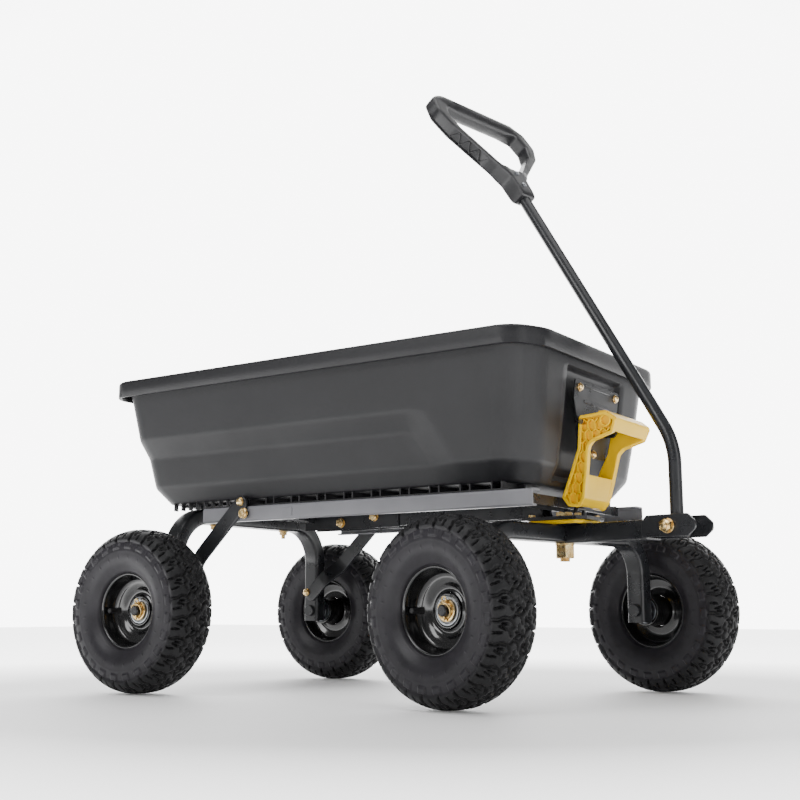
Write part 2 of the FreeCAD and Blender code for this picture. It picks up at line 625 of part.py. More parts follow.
latch_bolts = []
for i, (y, z) in enumerate(((-62, 455), (62, 455), (0, 362))):
    head = doc.addObject("Part::Prism", f"Latch_bolt_{i}")
    head.Polygon = 6
    bind(head, Circumradius=6.35, Height=4)
    face_x = 686.1 + (z - 408) * math.tan(math.radians(wall_tilt))
    latch_bolts.append(move(head, face_x, y, z, Rotation(Vector(0, 1, 0), 90 + wall_tilt)))
finish("latch_plate_bolts", group("Latch_bolts", latch_bolts))
finish("release_pin", rod("Release_pin", 4, 134, ("release_pin_x", -67, "release_z"), "y"))
finish("release_spring", ring("Release_spring", 7.5, 4.3, 30, ("release_pin_x", -15, "release_z"), "y"))

release_side = [
    ("release_x + 10", 413), ("release_x + 52", 416), ("release_x + 68", 404),
    ("release_x + 60", 384), ("release_x + 28", 374), ("release_x + 20", 366),
    ("release_x + 13", 326), ("release_x + 6", 292), ("release_x - 4", 280),
    ("release_x - 12", 283), ("release_x - 15", 296), ("release_x - 7", 330),
    ("release_x + 3", 366), ("release_x + 6", 386)]
tilt = math.degrees(math.atan2(value("release_half_top - release_half_low"), 413 - 280))
walls = []
for side, sign in (("left", 1), ("right", -1)):
    plate = prism("Release_side_" + side, "XZ_Plane", release_side, "release_wall")
    lean = Rotation(Vector(1, 0, 0), -tilt * sign)
    foot = Vector(0, sign * value("release_half_low - release_wall / 2"), 280)
    plate.Placement = Placement(foot - lean.multVec(Vector(0, 0, 280)), lean)
    walls.append(plate)
grip_bar = prism("Release_bar", "XZ_Plane", [
    ("release_x + 46", 415), ("release_x + 53", 415), ("release_x + 67", 404),
    ("release_x + 60", 386), ("release_x + 54", 388), ("release_x + 60", 403)],
    "2 * release_half_top - 8")
panel = prism("Release_panel", "XZ_Plane", [
    ("release_x + 8", 326), ("release_x + 12", 326), ("release_x + 5", 292), ("release_x - 4", 281),
    ("release_x - 13", 284), ("release_x - 11", 287), ("release_x - 5", 285), ("release_x + 1", 294)],
    "2 * release_half_low - 4")
whole = join("Release_handle_whole", walls + [grip_bar, panel])
finish("release_handle", cut("Release_handle_bored", whole, [
    rod("Release_bore", 4.05, 160, ("release_pin_x", -80, "release_z"), "y")]))


# ---------------------------------------------------------------- tongue and clevis
tongue = box("Tongue_out", ("ear_rear + 4 - 15.8", "2 * tongue_half", "tongue_height"),
             (15.8, "-tongue_half", "tongue_top - tongue_height"))
hollow = box("Tongue_in", ("ear_rear", "2 * tongue_half - 5", "tongue_height - 5"),
             (15.8, "2.5 - tongue_half", "tongue_top - tongue_height + 2.5"))
finish("tongue_tube", cut("Tongue", tongue, [hollow]), FRONT)

ear_low, ear_high = "clevis_z - 15", "clevis_z + 16"
for side, sign in (("left", 1), ("right", -1)):
    ear = prism("Ear_" + side, "XZ_Plane", [
        ("ear_rear", ear_low), ("ear_front - 12", ear_low), ("ear_front", f"{ear_low} + 10"),
        ("ear_front", f"{ear_high} - 11"), ("ear_front - 12", ear_high),
        ("ear_rear + 8", ear_high), ("ear_rear", f"{ear_high} - 8")], 4)
    move(ear, 0, f"{sign} * (ear_gap + 2)")
    hole = rod(f"Ear_{side}_hole", 5, 10, ("clevis_x", f"{sign} * (ear_gap + 2) - 5", "clevis_z"), "y")
    finish("clevis_ear_" + side, cut("Ear_drilled_" + side, ear, [hole]), FRONT)

finish("handle_pivot_bolt", join("Handle_bolt", [
    rod("Handle_bolt_shank", 5, "2 * ear_gap + 26", ("clevis_x", "-ear_gap - 17", "clevis_z"), "y"),
    hexagon("Handle_bolt_head", 17, 5, ("clevis_x", "ear_gap + 4", "clevis_z"), "y")]), FRONT)
finish("handle_pivot_nut", nut("Handle_nut", 17, 5, 9, ("clevis_x", "-ear_gap - 13", "clevis_z"), "y"),
       FRONT)


# ---------------------------------------------------------------- pull handle
lean = math.radians(value("handle_lean"))
ALONG = Vector(-math.sin(lean), 0, math.cos(lean))
corner_shift = -36.0
bend_point = Vector(corner_shift, 0, value("handle_rise"))
tube_path = [Vector(0, 0, 13), Vector(0, 0, 118), bend_point, bend_point + ALONG * value("handle_length")]


def handle_pipe(radius):
    wire = rounded_wire(tube_path, [0, 110, value("handle_bend"), 0], closed=False)
    circle = Part.Wire(Part.Circle(tube_path[0], Vector(0, 0, 1), radius).toShape())
    return swept(wire, circle)


tube = shaped("Handle_tube_out", handle_pipe(value("handle_radius")))
tube_bore = shaped("Handle_tube_in", handle_pipe(value("handle_radius") - 1.6))
saddle = rod("Handle_saddle", 15, 60, (0, -30, 0), "y")
finish("handle_tube", cut("Handle_tube", tube, [tube_bore, saddle]), HANDLE)
sleeve = ring("Sleeve", 15, 5.05, "2 * ear_gap - 0.8", (0, "0.4 - ear_gap", 0), "y")
finish("handle_sleeve", sleeve, HANDLE)

# The grip is drawn standing on the tube's axis: X across the cart, Y along the tube.
GRIP = Placement(bend_point, Rotation(Vector(0, 1, 0), ALONG, Vector(), "YZX"))


def grip_face(points, radii):
    both = points + [(-x, y) for x, y in reversed(points)]
    wire = rounded_wire([Vector(x, y, 0) for x, y in both], radii + radii[::-1])
    return Part.Face(wire)


neck, top, half = value("grip_neck"), value("grip_top"), value("grip_half")
rim_face = grip_face([(24, neck), (38, neck + 62), (114, neck + 124), (half, neck + 163),
                      (112, top - 20), (92, top)], [4, 20, 26, 14, 14, 14])
hole_face = grip_face([(24, neck + 106), (50, neck + 136), (58, neck + 178)], [8, 12, 12])
thick = value("grip_thick")
grip_shape = rim_face.cut(hole_face).extrude(Vector(0, 0, thick))
grip_shape.translate(Vector(0, 0, -thick / 2))
socket = Part.makeCylinder(value("handle_radius") + 0.02, 60, Vector(0, neck - 1, 0), Vector(0, 1, 0))
grip_shape = grip_shape.cut(socket)
finish("grip", shaped("Grip", grip_shape), HANDLE.multiply(GRIP))
screws = [Part.makeCylinder(4, 3, Vector(0, neck + along, thick / 2), Vector(0, 0, 1)) for along in (50, 90)]
finish("grip_screws", shaped("Grip_screws", Part.makeCompound(screws)), HANDLE.multiply(GRIP))


# ---------------------------------------------------------------- checks and export
doc.recompute()
faults = [item.Name for item in doc.Objects if {"Invalid", "Error"} & set(item.State)]
for node, item in NODES.items():
    if item.Shape.isNull() or not item.Shape.isValid() or not item.Shape.Solids:
        faults.append(node)
if faults:
    raise SystemExit("not built: " + ", ".join(faults))
os.makedirs("parts", exist_ok=True)
for node, item in NODES.items():
    item.Shape.exportStep(f"parts/{node}.step")
whole = Part.makeCompound([item.Shape for item in NODES.values()]).optimalBoundingBox()
print(len(NODES), "nodes, X", round(whole.XMin, 2), round(whole.XMax, 2), "Y", round(whole.YMin, 2),
      round(whole.YMax, 2), "Z", round(whole.ZMin, 2), round(whole.ZMax, 2))
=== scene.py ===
import json
import math

import bmesh
import bpy
import numpy as np
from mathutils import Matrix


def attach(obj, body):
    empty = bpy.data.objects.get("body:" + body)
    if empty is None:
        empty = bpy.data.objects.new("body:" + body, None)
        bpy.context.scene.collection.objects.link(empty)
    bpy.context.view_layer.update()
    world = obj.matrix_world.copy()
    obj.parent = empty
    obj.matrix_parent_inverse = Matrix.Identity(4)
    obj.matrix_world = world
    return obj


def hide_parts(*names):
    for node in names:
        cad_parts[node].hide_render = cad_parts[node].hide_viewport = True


# The looks of a garden dump cart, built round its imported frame.  Shapes are worked out in
# millimetres and turned to metres when they become meshes.

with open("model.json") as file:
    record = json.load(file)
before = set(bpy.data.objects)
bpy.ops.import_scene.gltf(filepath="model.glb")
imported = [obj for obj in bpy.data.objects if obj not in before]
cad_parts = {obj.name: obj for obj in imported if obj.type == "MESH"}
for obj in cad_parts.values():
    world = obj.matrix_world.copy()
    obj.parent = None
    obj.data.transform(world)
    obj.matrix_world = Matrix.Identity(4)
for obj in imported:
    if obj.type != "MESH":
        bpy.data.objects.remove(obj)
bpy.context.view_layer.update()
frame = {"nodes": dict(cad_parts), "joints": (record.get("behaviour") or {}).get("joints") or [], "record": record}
MM = 0.001

# ------------------------------------------------------------------ places, from the frame
JOINT = {joint["name"]: joint for joint in frame["joints"]}
REAR_X = JOINT["wheel_rear_left_roll"]["pos_m"][0] / MM
AXLE_Z = JOINT["wheel_rear_left_roll"]["pos_m"][2] / MM
KINGPIN = np.array(JOINT["front_steer"]["pos_m"]) / MM * (1, 1, 0)
CLEVIS = np.array(JOINT["pull_handle_swing"]["pos_m"]) / MM
ACROSS = np.array(JOINT["pull_handle_swing"]["axis"], float)
AHEAD = np.array([ACROSS[1], -ACROSS[0], 0.0])
UP = np.array([0.0, 0.0, 1.0])
KING_X = KINGPIN[0] - REAR_X
PIVOT_X = JOINT["bed_dump"]["pos_m"][0] / MM - REAR_X
PIVOT_Z = JOINT["bed_dump"]["pos_m"][2] / MM
RELEASE_X = JOINT["release_lift"]["pos_m"][0] / MM - REAR_X
RELEASE_Z = JOINT["release_lift"]["pos_m"][2] / MM


def placed(points, origin, x_axis, y_axis, z_axis):
    """Local points in the row frame: origin + x X + y Y + z Z."""
    return np.asarray(origin) + points @ np.array([x_axis, y_axis, z_axis], float)


def on_bed(points):
    """Points measured from the rear axle, as the bed's and the chassis's drawings are."""
    return points + np.array([REAR_X, 0.0, 0.0])


def on_front(points):
    """Points measured from the kingpin along the turned front axle."""
    return placed(points, KINGPIN, AHEAD, ACROSS, UP)


# ------------------------------------------------------------------ surfaces
def unit(rows):
    """Rows of vectors brought to length 1."""
    return rows / np.linalg.norm(rows, axis=-1, keepdims=True)


def plan(x, y):
    """Plan points from two numbers, or from rows of numbers and one number."""
    return np.stack(np.broadcast_arrays(np.atleast_1d(x), y), 1)


def stacked(levels):
    """Outlines over each other, from pairs of an outline and its height."""
    return np.stack([np.column_stack([ring, np.full(len(ring), height)])
                     for ring, height in levels])


def grid(points, loop=False, caps=True):
    """Quads over an array of closed rings, ring after ring; flat caps shut the first and the
    last ring, or loop joins the last ring back to the first."""
    rings, count = points.shape[:2]
    ring, column = np.meshgrid(np.arange(rings if loop else rings - 1), np.arange(count),
                               indexing="ij")
    ahead, beside = (ring + 1) % rings, (column + 1) % count
    quads = np.stack([ring * count + column, ring * count + beside,
                      ahead * count + beside, ahead * count + column], -1).reshape(-1, 4)
    flats = []
    if caps and not loop:
        flats = [list(range(count))[::-1], list(range((rings - 1) * count, rings * count))]
    return points.reshape(-1, 3), quads, flats


def chaikin(points, times=2, closed=False):
    """Corner cutting: each side keeps its points at a quarter and three quarters."""
    points = np.asarray(points, float)
    for _ in range(times):
        after = np.roll(points, -1, axis=0) if closed else points[1:]
        before = points if closed else points[:-1]
        cut = np.stack([0.75 * before + 0.25 * after, 0.25 * before + 0.75 * after], 1)
        cut = cut.reshape(-1, points.shape[1])
        points = cut if closed else np.concatenate([points[:1], cut, points[-1:]])
    return points


def rounded(corners, radii, steps=6):
    """A closed outline whose corners are circular arcs tangent to their two sides."""
    corners = np.asarray(corners, float)
    radii = np.broadcast_to(radii, len(corners))
    before = unit(np.roll(corners, 1, axis=0) - corners)
    after = unit(np.roll(corners, -1, axis=0) - corners)
    half = np.arccos(np.clip((before * after).sum(1), -1, 1)) / 2
    reach = radii / np.tan(half)
    middle = before + after
    middle /= np.maximum(np.linalg.norm(middle, axis=1, keepdims=True), 1e-9)
    centre = corners + middle * (radii / np.sin(half))[:, None]
    first = corners + before * reach[:, None] - centre
    last = corners + after * reach[:, None] - centre
    turn = np.linspace(0, 1, steps + 1)[None, :, None]
    sweep_angle = (math.pi - 2 * half)[:, None, None]
    scale = np.sin(sweep_angle)
    arcs = (np.sin((1 - turn) * sweep_angle) * first[:, None] +
            np.sin(turn * sweep_angle) * last[:, None]) / scale
    return (centre[:, None] + arcs).reshape(-1, corners.shape[1])


def spread(outline, step):
    """A closed outline with points added on its long sides, no further apart than step."""
    after = np.roll(outline, -1, axis=0)
    pieces = []
    for start, stop in zip(outline, after):
        count = max(1, math.ceil(np.linalg.norm(stop - start) / step))
        pieces.append(start + (stop - start) * np.arange(count)[:, None] / count)
    return np.concatenate(pieces)


def inset(outline, depth):
    """An outline moved inwards: each point goes along the inward bisector of its sides."""
    along = unit(np.roll(outline, -1, axis=0) - np.roll(outline, 1, axis=0))
    normal = np.stack([-along[:, 1], along[:, 0]], 1)
    after = np.roll(outline, -1, axis=0)
    area = (outline[:, 0] * after[:, 1] - after[:, 0] * outline[:, 1]).sum()
    return outline + normal * depth * np.sign(area)


def plate(outline, low, high, bevel=0.6):
    """A flat plate: the outline at two heights, and inset rings by the bevel at both faces."""
    inner = inset(outline, bevel)
    return stacked(((inner, low), (outline, low + bevel), (outline, high - bevel), (inner, high)))


def lathe(profile, count=96):
    """A profile of (radius, along) pairs turned about the local Y axis:
    (radius cos a, along, radius sin a)."""
    angle = np.linspace(0, 2 * math.pi, count, endpoint=False)[None, :]
    radius, along = profile[:, :1], profile[:, 1:2]
    return np.stack([radius * np.cos(angle), along + 0 * angle, radius * np.sin(angle)], -1)


def carried(path, section, side):
    """A section carried along a flat path: path + a side + b (side x tangent)."""
    side = np.broadcast_to(np.asarray(side, float), path.shape)
    normal = unit(np.cross(side, unit(np.gradient(path, axis=0))))
    return (path[:, None] + section[None, :, :1] * side[:, None] +
            section[None, :, 1:2] * normal[:, None])


def circle(radius, count=32):
    angle = np.linspace(0, 2 * math.pi, count, endpoint=False)
    return np.stack([radius * np.cos(angle), radius * np.sin(angle)], 1)


def bent(corners, radii, steps=14):
    """An open path through corners, rounded by tangent arcs."""
    corners = np.asarray(corners, float)
    arcs = rounded(corners, np.maximum(radii, 1e-3), steps).reshape(len(corners), -1, 3)
    inner = [arcs[i] for i in range(1, len(corners) - 1)]
    return np.concatenate([corners[:1]] + inner + [corners[-1:]])


def bars(starts, stops, width, low, high):
    """Thin upright ribs, each a box from start to stop in plan and from low to high."""
    along = unit(stops - starts)
    across = np.stack([-along[:, 1], along[:, 0]], 1) * width / 2
    sides = np.stack([starts - across, stops - across, stops + across, starts + across], 1)
    floor = np.concatenate([sides, np.full(sides.shape[:2] + (1,), low)], -1)
    roof = np.concatenate([sides, np.full(sides.shape[:2] + (1,), high)], -1)
    points = np.concatenate([floor, roof], 1)
    box = np.array([[3, 2, 1, 0], [4, 5, 6, 7], [0, 1, 5, 4], [1, 2, 6, 5], [2, 3, 7, 6],
                    [3, 0, 4, 7]])
    quads = (box[None] + 8 * np.arange(len(starts))[:, None, None]).reshape(-1, 4)
    return points.reshape(-1, 3), quads, []


def moved(part, change):
    """A part with its points passed through change."""
    return change(part[0]), part[1], part[2]


def inside(points, outline):
    """Which points lie in a closed outline: a ray from each crosses it an odd number of times."""
    x, y = points[:, :1], points[:, 1:2]
    after = np.roll(outline, -1, axis=0)
    spans = (outline[:, 1] > y) != (after[:, 1] > y)
    rise = np.where(after[:, 1] == outline[:, 1], 1.0, after[:, 1] - outline[:, 1])
    crossing = outline[:, 0] + (y - outline[:, 1]) / rise * (after[:, 0] - outline[:, 0])
    return (spans & (x < crossing)).sum(1) % 2 == 1


def honeycomb(outline, width, height):
    """Sides of upright stretched hexagons that fill an outline, as starts and stops.
    Cell centres step by width along a row and by three quarters of the height between rows."""
    low, high = outline.min(0) - height, outline.max(0) + height
    i, j = np.meshgrid(np.arange(math.ceil((high[0] - low[0]) / width)),
                       np.arange(math.ceil((high[1] - low[1]) / height * 4 / 3)))
    centre = np.stack([low[0] + width * (i + 0.5 * (j % 2)), low[1] + 0.75 * height * j], -1)
    centre = centre.reshape(-1, 1, 2)
    corner = np.array([[0, height / 2], [width / 2, height / 4], [width / 2, -height / 4],
                       [0, -height / 2]])
    starts = (centre + corner[None, :3]).reshape(-1, 2)
    stops = (centre + corner[None, 1:]).reshape(-1, 2)
    kept = inside((starts + stops) / 2, outline)
    return starts[kept], stops[kept]


def piece(name, parts, body, slot, stands_for=(), where=None, crease=35, marks=None,
          material=None):
    """One mesh from several parts, put in place by where, riding on a body and standing for
    CAD nodes.  It has its slot's finish unless it is given another."""
    if where:
        parts = [moved(part, where) for part in parts]
    starts = np.cumsum([0] + [len(part[0]) for part in parts])
    points = np.concatenate([part[0] for part in parts]) * MM
    faces = np.concatenate([part[1] + start for part, start in zip(parts, starts)]).tolist()
    faces += [[int(index + start) for index in flat]
              for part, start in zip(parts, starts) for flat in part[2]]
    mesh = bpy.data.meshes.new(name)
    mesh.from_pydata(points.tolist(), [], faces)
    for mark, values in (marks or {}).items():
        mesh.attributes.new(mark, "FLOAT", "POINT").data.foreach_set("value", values)
    work = bmesh.new()
    work.from_mesh(mesh)
    bmesh.ops.recalc_face_normals(work, faces=work.faces)
    work.to_mesh(mesh)
    work.free()
    mesh.polygons.foreach_set("use_smooth", [True] * len(mesh.polygons))
    mesh.set_sharp_from_angle(angle=math.radians(crease))
    mesh.materials.append(material or FINISH_OF_SLOT[slot])
    made = bpy.data.objects.new(name, mesh)
    bpy.context.scene.collection.objects.link(made)
    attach(made, body)
    if stands_for:
        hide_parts(*stands_for)
    return made


# ------------------------------------------------------------------ finishes
def srgb(code):
    """An sRGB hex colour as linear red, green, blue and alpha."""
    parts = np.array([int(code[i:i + 2], 16) for i in (1, 3, 5)]) / 255
    linear = np.where(parts <= 0.04045, parts / 12.92, ((parts + 0.055) / 1.055) ** 2.4)
    return (*linear.tolist(), 1.0)


def node(tree, kind, inputs=None, **settings):
    """Adds one node with its settings, and its inputs as values or as links."""
    made = tree.nodes.new(kind)
    for name, setting in settings.items():
        setattr(made, name, setting)
    for name, source in (inputs or {}).items():
        if isinstance(source, bpy.types.NodeSocket):
            tree.links.new(source, made.inputs[name])
        else:
            made.inputs[name].default_value = source
    return made


def finish_of(name, roughness, metallic=0.0, ior=1.5):
    """A new material's node tree, its shader and the Object coordinates."""
    material = bpy.data.materials.new(name)
    material.use_nodes = True
    tree = material.node_tree
    shader = tree.nodes["Principled BSDF"]
    shader.inputs["Roughness"].default_value = roughness
    shader.inputs["Metallic"].default_value = metallic
    shader.inputs["IOR"].default_value = ior
    where = node(tree, "ShaderNodeTexCoord").outputs["Object"]
    return material, tree, shader, where


def per_mm(size):
    """Noise scale for features of a size in millimetres, in coordinates of metres."""
    return 1.0 / (size * MM)


def tint(tree, shader, where, size, low, high, low_at=0.35, high_at=0.65):
    """Two shades of one colour in soft patches of a size, led to the shader's base colour."""
    cloud = node(tree, "ShaderNodeTexNoise",
                 {"Vector": where, "Scale": per_mm(size), "Detail": 4.0})
    ramp = node(tree, "ShaderNodeValToRGB", {"Fac": cloud.outputs["Fac"]})
    ramp.color_ramp.elements[0].position = low_at
    ramp.color_ramp.elements[1].position = high_at
    ramp.color_ramp.elements[0].color = srgb(low)
    ramp.color_ramp.elements[1].color = srgb(high)
    tree.links.new(ramp.outputs["Color"], shader.inputs["Base Color"])
    return ramp


def relief(tree, shader, where, size, depth, strength=1.0, detail=2.0):
    """Fine surface relief of a grain size and a depth, both in millimetres."""
    grain = node(tree, "ShaderNodeTexNoise",
                 {"Vector": where, "Scale": per_mm(size), "Detail": detail, "Roughness": 0.55})
    bump = node(tree, "ShaderNodeBump", {"Height": grain.outputs["Fac"], "Strength": strength,
                                         "Distance": depth * MM})
    tree.links.new(bump.outputs["Normal"], shader.inputs["Normal"])
    return bump


def sheen_change(tree, shader, where, size, low, high):
    """Roughness that drifts between two values over patches of a size."""
    cloud = node(tree, "ShaderNodeTexNoise",
                 {"Vector": where, "Scale": per_mm(size), "Detail": 3.0})
    spread_out = node(tree, "ShaderNodeMapRange", {"Value": cloud.outputs["Fac"], "From Min": 0.3,
                                                   "From Max": 0.7, "To Min": low, "To Max": high})
    tree.links.new(spread_out.outputs["Result"], shader.inputs["Roughness"])


def moulded_polyethylene():
    """High-density polyethylene, injection moulded against a spark-eroded tool: a soft, even
    charcoal with a fine leathery grain that spreads highlights wide."""
    material, tree, shader, where = finish_of("moulded_polyethylene", 0.5, ior=1.54)
    tint(tree, shader, where, 90, "#121215", "#151518")
    shader.inputs["Specular IOR Level"].default_value = 0.36
    relief(tree, shader, where, 1.6, 0.16, 0.55)
    sheen_change(tree, shader, where, 120, 0.44, 0.54)
    return material


def grey_powder_coat():
    """Satin polyester powder coat on folded sheet steel: mid grey, faint orange peel."""
    material, tree, shader, where = finish_of("grey_powder_coat", 0.36, ior=1.5)
    tint(tree, shader, where, 60, "#6c6c70", "#737377")
    relief(tree, shader, where, 2.4, 0.05, 0.5)
    sheen_change(tree, shader, where, 50, 0.3, 0.4)
    return material


def black_powder_coat():
    """Semi-gloss black powder coat on tube: long soft highlights broken by orange peel."""
    material, tree, shader, where = finish_of("black_powder_coat", 0.3, ior=1.5)
    tint(tree, shader, where, 45, "#1a1b1d", "#1f2023")
    relief(tree, shader, where, 2.2, 0.07, 0.55)
    sheen_change(tree, shader, where, 30, 0.24, 0.36)
    return material


def tyre_rubber():
    """Cured carbon-black rubber, matt in the grooves and over the tread, less rough on the sidewall. Its colour
    holds painted light and shade: the grooves are painted darker than the raised faces as painted shade, and the
    sidewall is painted a faint lighter grey-violet in soft patches as a painted sheen."""
    material, tree, shader, where = finish_of("tyre_rubber", 0.55, ior=1.52)
    flank = node(tree, "ShaderNodeAttribute", attribute_name="flank").outputs["Fac"]
    top = node(tree, "ShaderNodeAttribute", attribute_name="raised").outputs["Fac"]
    cloud = node(tree, "ShaderNodeTexNoise", {"Vector": where, "Scale": per_mm(22), "Detail": 4.0})
    share = node(tree, "ShaderNodeMapRange", {"Value": cloud.outputs["Fac"], "From Min": 0.3,
                                              "From Max": 0.7, "To Min": 0.6, "To Max": 1.0})
    # Painted sheen: on the flank the base colour is mixed towards a lighter grey-violet in soft patches, as a
    # painted sheen of light on the sidewall.
    painted_flank_sheen = node(tree, "ShaderNodeMath", {0: share.outputs["Result"], 1: flank},
                 operation="MULTIPLY")
    # Painted shade: the grooves are painted darker than the raised blocks and pads, as shade in the tread.
    tread = node(tree, "ShaderNodeMix", {"Factor": top}, data_type="RGBA")
    tread.inputs[6].default_value = srgb("#060607")
    tread.inputs[7].default_value = srgb("#121214")
    both = node(tree, "ShaderNodeMix", {"Factor": painted_flank_sheen.outputs["Value"]}, data_type="RGBA")
    tree.links.new(tread.outputs[2], both.inputs[6])
    both.inputs[7].default_value = srgb("#27252a")
    shader.inputs["Specular IOR Level"].default_value = 0.3
    tree.links.new(both.outputs[2], shader.inputs["Base Color"])
    relief(tree, shader, where, 1.1, 0.08, 0.5)
    dull = node(tree, "ShaderNodeMapRange", {"Value": flank, "To Min": 0.52, "To Max": 0.4})
    tree.links.new(dull.outputs["Result"], shader.inputs["Roughness"])
    return material


def gloss_black_enamel():
    """Stoved black enamel on pressed steel: wet-looking, with a clear upper layer."""
    material, tree, shader, where = finish_of("gloss_black_enamel", 0.2, ior=1.5)
    tint(tree, shader, where, 40, "#101011", "#151516")
    relief(tree, shader, where, 5, 0.05, 0.4)
    shader.inputs["Coat Weight"].default_value = 0.6
    shader.inputs["Coat Roughness"].default_value = 0.06
    return material


def yellow_zinc_plate():
    """Zinc plate with yellow chromate passivation: pale gold that shifts towards rose and
    green in small clouds, over bright drawn steel."""
    material, tree, shader, where = finish_of("yellow_zinc_plate", 0.3, metallic=1.0)
    ramp = tint(tree, shader, where, 7, "#cdab66", "#eddca8", 0.3, 0.7)
    ramp.color_ramp.elements.new(0.5).color = srgb("#e0bf86")
    relief(tree, shader, where, 1.4, 0.05, 0.5)
    sheen_change(tree, shader, where, 5, 0.22, 0.36)
    return material


def bright_steel():
    """Ground and zinc-plated steel: cool, with fine turning marks."""
    material, tree, shader, where = finish_of("bright_steel", 0.28, metallic=1.0)
    tint(tree, shader, where, 6, "#8f9296", "#b4b8bd")
    relief(tree, shader, where, 1.0, 0.03, 0.5)
    return material


def yellow_polypropylene():
    """Yellow polypropylene, glossy on its show faces: slightly waxy, with light carried
    under the surface and faint flow shading from the mould."""
    material, tree, shader, where = finish_of("yellow_polypropylene", 0.36, ior=1.49)
    tint(tree, shader, where, 55, "#f0bf00", "#f6c800")
    relief(tree, shader, where, 1.5, 0.05, 0.4)
    shader.inputs["Specular IOR Level"].default_value = 0.15
    sheen_change(tree, shader, where, 40, 0.32, 0.42)
    return material


def glass_filled_nylon():
    """Black glass-filled nylon of the grip: dry sheen with a fine fibrous grain."""
    material, tree, shader, where = finish_of("glass_filled_nylon", 0.42, ior=1.53)
    tint(tree, shader, where, 30, "#19191b", "#202022")
    relief(tree, shader, where, 1.3, 0.1, 0.6)
    sheen_change(tree, shader, where, 25, 0.36, 0.48)
    return material


def valve_rubber():
    """Soft black EPDM of the valve stem: matt and slightly grey."""
    material, tree, shader, where = finish_of("valve_rubber", 0.6, ior=1.5)
    tint(tree, shader, where, 8, "#141415", "#1c1c1d")
    relief(tree, shader, where, 0.9, 0.05, 0.5)
    return material


FINISH_OF_SLOT = {
    "tub_polyethylene": moulded_polyethylene(), "rail_grey_coat": grey_powder_coat(),
    "black_powder_coat": black_powder_coat(), "tyre_rubber": tyre_rubber(),
    "rim_gloss_black": gloss_black_enamel(), "yellow_zinc": yellow_zinc_plate(),
    "bearing_steel": bright_steel(), "yellow_plastic": yellow_polypropylene(),
    "grip_plastic": glass_filled_nylon(), "valve_rubber": valve_rubber(),
}
STEEL = FINISH_OF_SLOT["zinc_steel"] = FINISH_OF_SLOT["bearing_steel"]
for entry in frame["record"]["subparts"]:
    shown = frame["nodes"][entry["node"]]
    shown.data.materials.clear()
    shown.data.materials.append(FINISH_OF_SLOT[entry["material_slot"]])


# ------------------------------------------------------------------ camera, floor and light
BACKDROP = (-0.563, 0.826, 0.0)


def studio():
    """A pale floor, a white room and soft boxes above, beside and in front of the cart. The floor glows faintly
    near the cart and brightly far from it: the dim ring round the cart is a painted shadow.
    """
    camera = bpy.data.objects.new("camera", bpy.data.cameras.new("camera"))
    bpy.context.scene.collection.objects.link(camera)
    camera.location = (1.06682, -1.62578, 0.12976)
    camera.rotation_euler = (math.radians(90 + 10.11), 0, math.radians(34.28))
    camera.data.lens = 53.217
    camera.data.sensor_width = 36
    bpy.context.scene.camera = camera

    floor_size = 14.0
    mesh = bpy.data.meshes.new("studio_floor")
    half = floor_size / 2
    mesh.from_pydata([(-half, -half, -0.0005), (half, -half, -0.0005), (half, half, -0.0005),
                      (-half, half, -0.0005)], [], [(0, 1, 2, 3)])
    floor = bpy.data.objects.new("studio_floor", mesh)
    bpy.context.scene.collection.objects.link(floor)
    material, tree, shader, where = finish_of("pale_floor_with_painted_shadow", 0.7)
    tint(tree, shader, where, 400, "#f7f7f7", "#f9f9f9")
    shader.inputs["Emission Color"].default_value = (1, 1, 1, 1)
    # Painted shadow: the floor's glow rises with distance from the cart's middle, so the floor round the cart is
    # painted darker as a soft shadow, and far off it glows as a bright backdrop.
    reach = node(tree, "ShaderNodeVectorMath", {0: where}, operation="LENGTH")
    glow = node(tree, "ShaderNodeMapRange", {"Value": reach.outputs["Value"], "From Min": 0.75,
                                             "From Max": 1.5, "To Min": 0.1, "To Max": 3.2})
    tree.links.new(glow.outputs["Result"], shader.inputs["Emission Strength"])
    mesh.materials.append(material)

    world = bpy.data.worlds.new("white_room")
    world.use_nodes = True
    sky = world.node_tree
    ray = node(sky, "ShaderNodeTexCoord").outputs["Generated"]
    facing = node(sky, "ShaderNodeVectorMath", {0: ray, 1: BACKDROP}, operation="DOT_PRODUCT")
    glow = node(sky, "ShaderNodeMapRange", {"Value": facing.outputs["Value"], "From Min": 0.55,
                                            "From Max": 0.85, "To Min": 0.22, "To Max": 8.0})
    sky.nodes["Background"].inputs["Color"].default_value = (1, 1, 1, 1)
    sky.links.new(glow.outputs["Result"], sky.nodes["Background"].inputs["Strength"])
    bpy.context.scene.world = world

    boxes = (
        ("top_box", (0.0, -0.2, 2.6), (0, 0, 0), 2.6, 2.0, 42),
        ("near_box", (-0.6, -2.4, 1.7), (0.0, 0.0, 0.35), 1.6, 0.9, 30),
        ("front_box", (2.6, -0.6, 1.2), (0.2, 0.0, 0.4), 0.8, 1.6, 13),
        ("far_box", (-1.2, 2.2, 1.6), (0.0, 0.0, 0.4), 2.0, 1.2, 24),
    )
    for name, at, target, width, height, power in boxes:
        lamp = bpy.data.lights.new(name, "AREA")
        lamp.shape = "RECTANGLE"
        lamp.size, lamp.size_y = width, height
        lamp.energy = power
        held = bpy.data.objects.new(name, lamp)
        bpy.context.scene.collection.objects.link(held)
        held.location = at
        toward = np.array(target, float) - np.array(at)
        flat = math.hypot(toward[0], toward[1])
        held.rotation_euler = (math.atan2(flat, -toward[2]), 0,
                               math.atan2(toward[1], toward[0]) - math.pi / 2)


studio()


